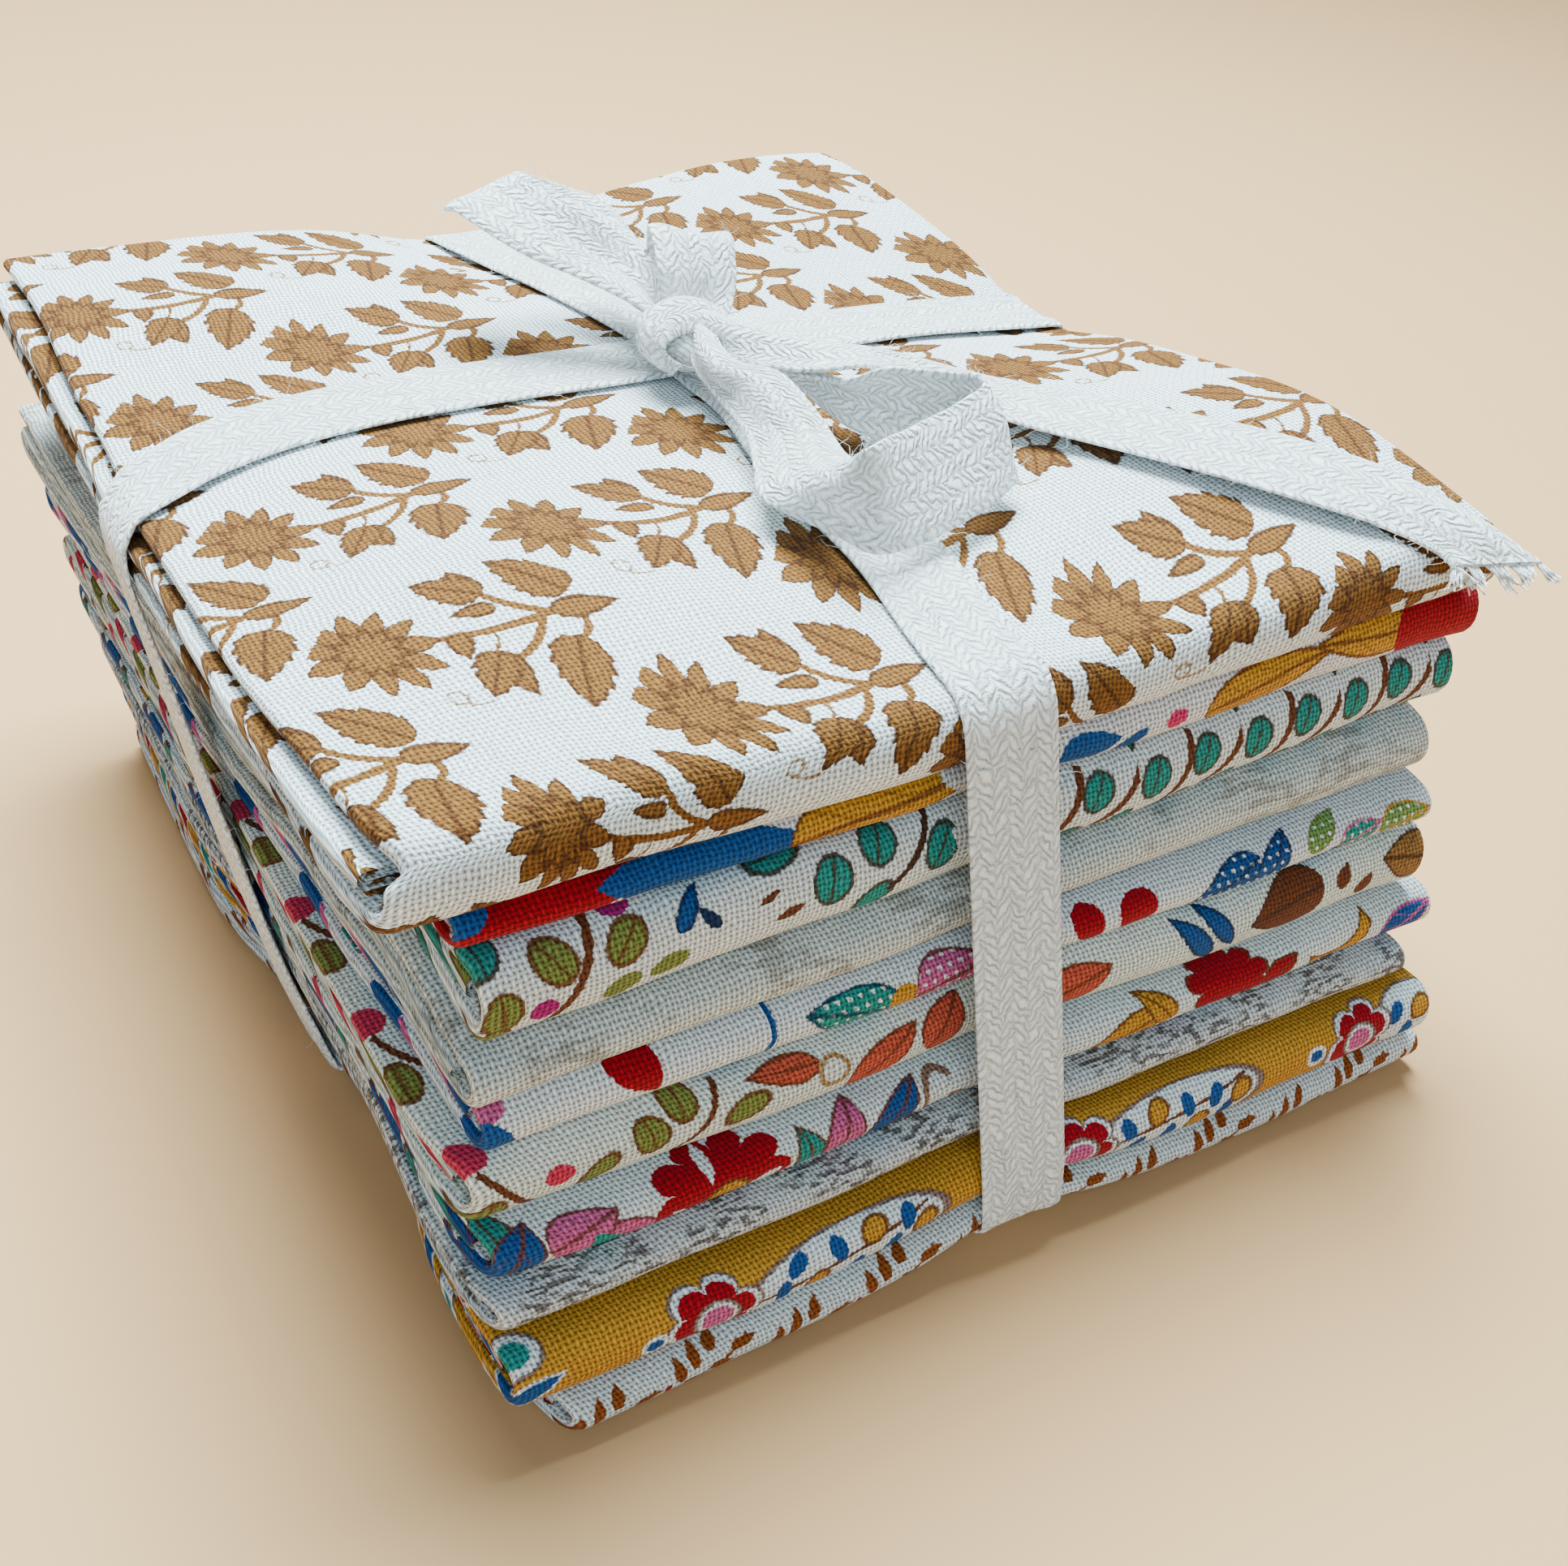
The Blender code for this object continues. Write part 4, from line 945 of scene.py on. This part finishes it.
RED_AND_DOTS = (
    ("leaf", 10.8, 1.6, 2.7, 1.8, -60, RED), ("leaf", 18.0, -2.0, 3.0, 1.2, 30, BLUE),
    ("stem", 20.9, 0.6, 3.0, 0.26, 80, BLUE), ("dotted leaf", 27.9, 0.2, 4.2, 2.3, 165, TEAL, DARK_BLUE),
    ("leaf", 32.9, -0.2, 1.9, 1.5, 0, MUSTARD), ("dotted leaf", 36.9, 0.3, 3.6, 2.7, 10, PINK, BROWN),
    ("leaf", 49.3, 0.6, 2.3, 1.4, -70, RED), ("leaf", 54.0, 0.1, 2.5, 1.9, -80, RED),
    ("dotted leaf", 62.6, 0.0, 4.4, 1.9, 205, BLUE, DARK_BLUE),
    ("dotted leaf", 68.3, 0.8, 3.2, 1.8, 55, BLUE, DARK_BLUE),
    ("leaf", 75.0, -1.2, 4.0, 1.2, 25, BLUE), ("dotted leaf", 74.1, 2.0, 2.4, 1.2, 40, GREEN, OLIVE),
    ("dotted leaf", 78.1, 0.4, 2.4, 1.6, 20, TEAL, PINK),
    ("dotted leaf", 83.2, 0.2, 3.0, 2.2, 15, GREEN, MUSTARD),
    ("leaf", 0.0, 3.4, 2.0, 1.4, 80, PINK), ("leaf", 0.3, -3.0, 1.8, 1.2, 100, BLUE),
    ("leaf", -0.6, 0.2, 2.8, 1.6, 120, BLUE),
)
OLIVE_AND_CORAL = (
    ("round", 4.9, -0.6, 1.1, 0.9, 0, CRIMSON), ("stem", 1.9, -1.0, 3.4, 0.3, -50, BROWN),
    ("oval", 7.9, -1.5, 1.8, 1.0, 40, OLIVE, BROWN), ("oval", 11.8, 0.0, 1.7, 1.4, 100, OLIVE, BROWN),
    ("oval", 14.6, 2.0, 1.9, 1.3, 80, OLIVE, BROWN), ("stem", 16.0, 0.0, 3.4, 0.24, 56, BROWN),
    ("oval", 19.1, -0.4, 2.0, 1.1, 25, OLIVE, BROWN), ("leaf", 22.5, 1.6, 2.9, 1.3, 175, CORAL, BROWN),
    ("ring", 26.4, 0.2, 1.4, 1.5, 0, ink(176, 140, 96)), ("leaf", 31.2, -0.4, 3.8, 1.9, 35, CORAL, BROWN),
    ("leaf", 37.0, 0.6, 2.7, 2.1, 50, CORAL, BROWN), ("leaf", 49.3, -0.4, 2.8, 2.2, 20, CORAL, BROWN),
    ("blade", 60.5, 0.0, 3.6, 1.0, -50, BLUE, DARK_BLUE),
    ("blade", 62.8, 0.8, 3.2, 0.9, -55, BLUE, DARK_BLUE),
    ("leaf", 70.3, 0.3, 4.2, 2.9, 190, BROWN, DARK_BROWN), ("leaf", 76.9, 0.9, 1.2, 0.9, 60, BROWN),
    ("leaf", 79.6, -0.7, 1.2, 0.9, 60, BROWN), ("leaf", 84.6, 0.5, 3.2, 2.4, 170, OCHRE, DARK_BROWN),
    ("round", 0.0, 3.2, 1.5, 1.3, 0, CRIMSON), ("oval", 0.2, -2.6, 1.8, 1.3, 90, OLIVE, BROWN),
)
RED_DAISIES = (
    ("leaf", 6.8, -0.4, 4.2, 1.6, 170, PINK, BROWN), ("daisy", 16.2, 0.6, 5.4, 4.6, 20, RED),
    ("blade", 15.4, 2.8, 1.9, 0.5, 80, WHITE_INK), ("blade", 13.1, -1.2, 1.6, 0.5, 140, WHITE_INK),
    ("blade", 19.4, -0.4, 1.5, 0.5, 20, WHITE_INK), ("round", 16.4, -0.6, 1.8, 1.3, 0, MUSTARD, BROWN),
    ("leaf", 23.3, 0.2, 2.6, 1.5, 100, TEAL, BROWN), ("leaf", 26.5, 0.8, 3.2, 1.8, 70, PINK, BROWN),
    ("leaf", 31.0, 0.2, 3.8, 1.9, 50, BLUE, BROWN), ("ring", 35.1, 0.6, 1.6, 2.6, 0, ink(150, 112, 92)),
    ("leaf", 51.6, -0.6, 4.4, 1.7, 200, MUSTARD, BROWN), ("leaf", 55.4, 1.6, 2.4, 1.3, 130, MUSTARD, BROWN),
    ("leaf", 58.1, -1.6, 2.6, 1.2, 20, RED, BROWN), ("daisy", 63.2, 1.4, 4.2, 3.4, 0, RED, BROWN),
    ("leaf", 62.1, -2.0, 3.2, 1.3, 10, BLUE, WHITE_INK), ("leaf", 68.6, 0.4, 2.2, 1.5, 30, RED, BROWN),
    ("stem", 75.8, 0.2, 3.6, 0.9, 20, MUSTARD, BROWN), ("leaf", 83.4, 0.2, 3.2, 2.0, 30, BLUE, PINK),
    ("leaf", 0.0, 3.4, 2.0, 1.5, 90, TEAL, BROWN), ("leaf", 0.2, -3.0, 2.2, 1.5, 80, BLUE, BROWN),
    ("leaf", 0.6, 0.2, 3.4, 2.4, 60, BLUE, BROWN), ("leaf", 5.6, 1.0, 2.8, 2.0, 20, PINK, BROWN),
    ("leaf", 7.0, -1.2, 2.0, 1.4, 120, TEAL),
)
MUSTARD_AND_RED = (
    ("round", 25.6, 0.0, 9.6, 3.3, 4, WHITE_INK, BROWN), ("round", 57.2, 0.2, 9.6, 3.2, 4, WHITE_INK, BROWN),
    ("round", 84.6, 0.6, 4.6, 3.4, 0, WHITE_INK, BROWN), ("stem", 25.8, 0.6, 7.6, 0.16, 8, BROWN),
    ("stem", 57.4, 0.8, 7.6, 0.16, 8, BROWN),
    *spray((20.0, -0.4, 80), (21.4, 1.5, 40), (23.0, -0.9, 60), (25.0, 1.4, 100), (26.6, -1.2, 70),
           (28.2, 1.6, 30), (29.8, -0.7, 60), (31.2, 1.3, 80), (32.8, 0.1, 30)),
    *spray((52.2, 0.9, 110), (53.2, -1.2, 50), (55.3, 1.5, 60), (56.6, -1.1, 80), (58.4, 1.2, 100),
           (59.6, -0.9, 30), (61.4, 1.1, 70), (62.6, -0.8, 60), (64.2, 0.6, 30)),
    *spray((82.4, 1.3, 60), (84.0, -0.9, 100), (85.2, 1.2, 40)),
    *flower(14.5, 0.0, 0), *flower(47.4, 0.2, 30), *flower(78.0, 0.4, 60), *bud(9.6, -0.4), *bud(72.9, 0.4),
    ("leaf", 0.2, -0.2, 3.0, 1.2, 20, BLUE, WHITE_INK),
    ("round", 0.0, 3.2, 2.2, 1.8, 0, WHITE_INK, BROWN), ("round", 0.0, 3.2, 1.2, 1.0, 0, TEAL),
    ("leaf", 0.2, -3.2, 1.8, 1.2, 90, RED, WHITE_INK),
)
RUST_SCROLLS = (
    ("stem", 0.4, -0.6, 3.4, 0.15, 22, RUST), ("leaf", -2.6, 0.4, 1.2, 0.5, 80, RUST),
    ("leaf", -1.0, 1.1, 1.3, 0.5, 70, RUST), ("leaf", 0.8, 1.7, 1.2, 0.5, 60, RUST),
    ("leaf", -1.3, -1.4, 1.1, 0.45, -20, RUST), ("leaf", 1.0, -0.9, 1.2, 0.5, -10, RUST),
    ("leaf", 3.0, 0.3, 1.2, 0.45, 10, RUST), ("round", -3.9, -1.0, 0.45, 0.45, 0, RED),
)



def cut_place(tree, start):
    """The place on the cut in millimetres, across it from a start and along it."""
    node = new_node(tree, "UVMap", uv_map="cut")
    u, v, _ = parts_of(tree, node.outputs[0])
    return u - start, v


def weave(tree, u, v):
    """A plain weave: its height from 0 to 1, and the tone of each thread."""
    slow, quick = noise(tree, u, v, 0.35, 1.0), noise(tree, u, v, 2.1)
    a, b = (((n + far * WANDER + near * TREMBLE) * (math.pi / THREAD)).worked("SINE")
            for n, far, near in zip((u, v), slow, quick))
    over = a * b
    warp = abs(a).worked("POWER", THREAD_ROUNDNESS) * (over * WARP_OVER + WARP_LEVEL)
    weft = abs(b).worked("POWER", THREAD_ROUNDNESS) * (over * WEFT_OVER + WEFT_LEVEL)
    along = noise(tree, u * (0.9 / THREAD), v * 0.12)
    across = noise(tree, u * 0.12, v * (0.9 / THREAD))
    return warp.worked("MAXIMUM", weft), along[0] + across[1] - 1.0


def radius_of(a, b):
    return (a * a + b * b).worked("SQRT")


def petal_wave(turns, phase):
    """Goes from 1 to 0 and back in each petal, from the turn round the flower counted in petals."""
    return abs((turns + phase).worked("FRACT") * 2.0 - 1.0)


def flower_depth(a, b, kind):
    """How deep a point lies inside a flower, as a share of its size."""
    count, tip = PETALS[kind]
    angle = b.worked("ARCTAN2", a)
    petal = petal_wave(angle * (count / 2 / math.pi), 0.3)
    lopsided = (angle * 2.0 + 1.2).worked("COSINE") * 0.05 - angle.worked("COSINE") * 0.05
    if kind == "bloom":
        edge = lopsided + 0.60 + petal.worked("POWER", 0.75) * tip
    else:
        edge = lopsided + 0.66 + (1.0 - petal * petal).worked("SQRT") * tip
    return edge - radius_of(a, b)


def shape_depth(tree, place, kind, x, y, reach, width, turn):
    """How deep a point lies inside a motif in millimetres, below 0 outside it, and its place there."""
    turned = (0, 0, math.radians(turn))
    node = new_node(tree, "Mapping", place, (x, y, 0), turned, (reach, width, 1), vector_type="TEXTURE")
    a, b, _ = parts_of(tree, node.outputs[0])
    if kind in ("leaf", "toothed"):
        depth = (1.0 - a) * (a + 1.0).worked("MAXIMUM", 0.0).worked("SQRT") * 0.92 - abs(b)
        depth = depth + (a + 1.0).worked("MINIMUM", 0.0)
        if kind == "toothed":
            teeth = ((a * 2.6 + 0.2).worked("FRACT") - 0.5) * 0.24
            depth = depth + teeth * (1.0 - a * a).worked("MAXIMUM", 0.0)
    elif kind == "blade":
        depth = 1.0 - a * a - abs(b)
    elif kind in ("round", "oval"):
        depth = 1.0 - radius_of(a, b)
    elif kind == "stem":
        side = 1.0 - abs(b - (a * a) * 2.0 + 1.0)
        depth = ((1.0 - abs(a)) * (reach / width)).worked("MINIMUM", side)
    elif kind == "ring":
        depth = 0.16 - abs(radius_of(a, b) - 0.84)
    else:
        depth = flower_depth(a, b, kind)
    return depth * width, a, b


def bloom_lines(a, b, inside):
    """The lines on a bloom: between its petals, the rays at its middle, and a scalloped ring round them."""
    far = radius_of(a, b)
    turns = b.worked("ARCTAN2", a) * (PETALS["bloom"][0] / 2 / math.pi)
    between = petal_wave(turns, 0.3).ramp(0.24, 0.08) * far.ramp(0.36, 0.44) * inside
    wave_inside = petal_wave(turns, 0.8)
    rays = wave_inside.ramp(0.18, 0.07) * far.ramp(0.30, 0.24) * 0.9 * far.ramp(0.06, 0.10)
    ring = abs(wave_inside.worked("POWER", 0.75) * 0.26 + 0.30 - far).ramp(0.09, 0.04)
    return between.worked("MAXIMUM", rays).worked("MAXIMUM", ring)


def leaf_lines(a, b, inside):
    """A leaf's middle vein and its fainter ribs."""
    vein = abs(b).ramp(0.11, 0.05) * inside
    ribs = abs((a * 1.7 + abs(b) * 1.1).worked("FRACT") - 0.5).ramp(0.07, 0.03) * inside * 0.5
    return vein.worked("MAXIMUM", ribs)


def drawn(tree, colour, p, q, rows, dots=None):
    """The print's motifs one after another on the colour below them."""
    place = vector_of(tree, p, q)
    for kind, x, y, reach, width, turn, fill, *outline in rows:
        shape = kind.removeprefix("dotted ")
        depth, a, b = shape_depth(tree, place, shape, x, y, reach, width, turn)
        inside = depth.ramp(EDGE_FROM, EDGE_TO)
        filled = fill if kind == shape else mixed(tree, dots, fill, WHITE_INK)
        colour = mixed(tree, inside, colour, filled)
        if outline:
            edge = abs(depth - OUTLINE_AT).ramp(*OUTLINE_WIDTH)
            if shape == "bloom":
                edge = edge.worked("MAXIMUM", bloom_lines(a, b, inside))
            if shape in ("leaf", "toothed", "oval") and width > VEINED_FROM_WIDTH:
                edge = edge.worked("MAXIMUM", leaf_lines(a, b, inside))
            colour = mixed(tree, edge * OUTLINE_STRENGTH, colour, outline[0])
    return colour


def nearest_repeat(p, q, repeat, drop, reach):
    """The place from the nearest motif, where every other column of motifs is dropped."""
    wide, high = repeat
    first, second = ((x.wrapped(wide), y.wrapped(high)) for x, y in ((p, q), (p - wide / 2, q - drop)))
    far = [(x * (1 / reach[0])).worked("POWER", 2.0) + (y * (1 / reach[1])).worked("POWER", 2.0)
           for x, y in (first, second)]
    pick = far[1].worked("LESS_THAN", far[0])
    return [a + (b - a) * pick for a, b in zip(first, second)]


def sprig_print(tree, p, q):
    """Tan sprigs in dropped columns, drawn together where the tie gathers the front."""
    near = (q * (1 / 15)).worked("POWER", 2.0).worked("MULTIPLY", -1.0).worked("EXPONENT") * p.ramp(4.0, 34.0)
    p, q = p + q * 0.107 + near * 4.0, q - p * 0.03 + near * 4.3
    (at_x, at_y), (middle_x, middle_y) = SPRIG_AT, SPRIG_MIDDLE
    x, y = nearest_repeat(p - at_x - middle_x, q - at_y - middle_y, SPRIG_REPEAT, SPRIG_DROP, SPRIG_REACH)
    return drawn(tree, COOL_WHITE, x + middle_x, y + middle_y, SPRIG)


def spots_of(p, q):
    """Fine dots in slanted rows, 1 mm apart."""
    a, b = (n.worked("FRACT") - 0.5 for n in (p + q * 0.5, q * 1.15))
    return (a * a + b * b).ramp(0.05, 0.025)


def print_of(ground, rows, dots=False, extra=None):
    """A print from a table of motifs placed along the front fold, repeated along the cut."""
    def design(tree, p, q):
        wide, high = FOLD_REPEAT
        x = (p - FOLD_MIDDLE_X).wrapped(wide) + FOLD_MIDDLE_X
        column = ((p - FOLD_MIDDLE_X) * (1 / wide)).worked("ROUND")
        y = (q - FOLD_MIDDLE_Y + column * FOLD_DROP).wrapped(high)
        colour = extra(tree, ground, p, q) if extra else ground
        return drawn(tree, colour, x, y, rows, spots_of(p, q) if dots else None)
    return design


def sketched(tree, colour, p, q):
    """Faint worn strokes, darker than the ground."""
    wide = noise(tree, p, q, 0.16, 3.0)
    fine = noise(tree, p * 0.35, q * 1.3, 1.0, 3.0)
    share = wide[0].ramp(0.47, 0.60, True) * fine[1].ramp(0.44, 0.56)
    return mixed(tree, share * 0.55, colour, STROKE)


def speckled(tree, colour, p, q):
    """Short broken dashes in loose rows."""
    wide = noise(tree, p, q, 0.22, 2.0)
    fine = noise(tree, p * 0.8, q * 2.4, 1.0, 2.0)
    share = fine[0].ramp(0.50, 0.57) * wide[1].ramp(0.38, 0.52, True)
    return mixed(tree, share * 0.85, colour, DASH)


def teal_print(tree, p, q):
    """Olive leaves and dots at the left end and a row of teal leaves on branches further on."""
    left = print_of(WARM_WHITE, TEAL_LEAVES)(tree, p, q)
    x = (p - TEAL_ROW_AT).worked("WRAP", *TEAL_ROW_ENDS)
    y = (q - FOLD_MIDDLE_Y).wrapped(TEAL_ROW_REPEAT)
    right = drawn(tree, WARM_WHITE, x, y, TEAL_ROW)
    return mixed(tree, p.worked("GREATER_THAN", TEAL_ROW_FROM), left, right)


def scroll_print(tree, p, q):
    at_x, at_y = SCROLL_AT
    x, y = nearest_repeat(p - at_x, q - at_y, SCROLL_REPEAT, SCROLL_DROP, SCROLL_REACH)
    return drawn(tree, WARM_WHITE, x, y, RUST_SCROLLS)


# The prints from the top cloth down
PRINTS = (
    sprig_print,
    print_of(ink(240, 236, 240), RED_AND_BLUE),
    teal_print,
    print_of(ink(222, 224, 218), (), extra=sketched),
    print_of(ink(240, 242, 246), RED_AND_DOTS, dots=True),
    print_of(CREAM, OLIVE_AND_CORAL),
    print_of(WARM_WHITE, RED_DAISIES),
    print_of(ink(222, 222, 222), (), extra=speckled),
    print_of(MUSTARD, MUSTARD_AND_RED),
    scroll_print,
)


def new_material(name):
    """A new material, its node tree and its shader."""
    material = bpy.data.materials.new(name)
    material.use_nodes = True
    return material, material.node_tree, material.node_tree.nodes["Principled BSDF"]


def give_surface(tree, shader, colour, height, shine, bumpiness):
    """A fabric's colour, its bumps from a height, and how it shines."""
    bump = new_node(tree, "Bump")
    for node, values in ((shader, shine), (bump, bumpiness)):
        for socket, value in values.items():
            set_input(node.inputs[socket], value)
    set_input(shader.inputs["Base Color"], colour)
    set_input(bump.inputs["Height"], height)
    set_input(shader.inputs["Normal"], bump.outputs[0])


def cotton(name, design):
    """A woven cotton: the ground and the motifs of its print, printed on the threads."""
    material, tree, shader = new_material(name)
    u, v = cut_place(tree, OUTER_PANEL_AT)
    height, tone = weave(tree, u, v)
    rough = noise(tree, u, v, 2.6, 1.0)
    p, q = (n * (1 - STEPPED) + n.worked("SNAP", THREAD) * STEPPED + PRINT_SHIFT + r * PRINT_ROUGHNESS
            for n, r in zip((u, v), rough))
    patchy = noise(tree, u, v, 0.6, 2.0)
    # Painted shade and highlight: the print's colour darkens into the gaps between threads and brightens on
    # their crowns, times the threads' own uneven tone
    painted_shade = height.worked("POWER", PAINTED_SHADE_POWER) * PAINTED_SHADE_RANGE + PAINTED_SHADE_LEAST
    painted_shade = painted_shade * (tone * THREAD_TONE + 1.0) * (patchy[0] * PATCH_TONE + PATCH_LEAST)
    colour = shaded(tree, design(tree, p, q), painted_shade)
    give_surface(tree, shader, colour, height + tone * 0.2, COTTON_SHINE, COTTON_BUMP)
    return material


def herringbone(name):
    """A soft cotton tape in herringbone twill: slanted yarns that turn from row to row."""
    material, tree, shader = new_material(name)
    s, t = cut_place(tree, -TAPE_WIDTH / 2)
    drift = noise(tree, s, t, 0.45, 2.0)
    quick = noise(tree, s, t, 1.3, 1.0)
    s = s + drift[0] * 0.7 + quick[0] * 0.5
    t = t + drift[1] * 1.2 + quick[1] * 0.7
    row = TAPE_WIDTH / TAPE_ROWS
    staggered = t + s.worked("PINGPONG", row) * YARN_SLOPE + s.worked("SNAP", row) * (YARN / 2 / row)
    yarn = abs((staggered * (math.pi / YARN)).worked("SINE"))
    ridge = abs((s * (math.pi / row)).worked("SINE"))
    height = yarn.worked("POWER", 1.1) * (ridge.worked("POWER", 0.6) * 0.6 + 0.4)
    hairs = noise(tree, s * 2.2 + t * 1.4, t * 4.0 - s, 1.6, 3.0)
    fuzzy = noise(tree, s, t, 1.3, 3.0)
    each = noise(tree, s.worked("SNAP", row) * 1.7, staggered.worked("SNAP", YARN) * 1.9)
    height = height * (each[0] * 0.7 + 0.5) + hairs[0] * 0.55 + fuzzy[1] * 0.5 - 0.25
    specks = noise(tree, s, t, 1.9, 1.0)
    # Painted shade and highlight: grey in the low places between yarns, white on the raised ones
    colour = mixed(tree, height.ramp(0.15, 0.95), TAPE_PAINTED_SHADE, TAPE_PAINTED_LIGHT)
    colour = mixed(tree, specks[2].ramp(0.765, 0.80) * 0.6, colour, FLECK)
    give_surface(tree, shader, colour, height, TAPE_SHINE, TAPE_BUMP)
    return material


def add_lamp(name, power, size, place, colour):
    data = bpy.data.lights.new(name, "AREA")
    data.energy = power
    data.color = colour
    data.size = size
    light = bpy.data.objects.new(name, data)
    light.location = place
    light.rotation_euler = (Vector(LAMPS_AIM) - Vector(place)).to_track_quat("-Z", "Y").to_euler()
    bpy.context.scene.collection.objects.link(light)


def make_stage():
    paper, _, shader = new_material("floor_paper")
    shader.inputs["Base Color"].default_value = (*FLOOR_COLOUR, 1)
    shader.inputs["Roughness"].default_value = FLOOR_ROUGHNESS
    mesh = bpy.data.meshes.new("floor")
    corners = [(x * FLOOR_REACH, y * FLOOR_REACH, 0) for x, y in ((-1, -1), (1, -1), (1, 1), (-1, 1))]
    mesh.from_pydata(corners, [], [(0, 1, 2, 3)])
    floor = add_object("floor", mesh, paper)
    floor.location.z = FLOOR_HEIGHT
    for lamp in LAMPS:
        add_lamp(*lamp)
    world = bpy.data.worlds.new("studio")
    world.use_nodes = True
    background = world.node_tree.nodes["Background"]
    background.inputs["Color"].default_value = (*SKY_COLOUR, 1)
    background.inputs["Strength"].default_value = SKY_STRENGTH
    bpy.context.scene.world = world


def main():
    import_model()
    place_camera()
    clouds = make_cloths([cotton(f"print_{i + 1:02d}", design) for i, design in enumerate(PRINTS)])
    make_tape(clouds, herringbone("tape_cotton"))
    make_stage()


main()
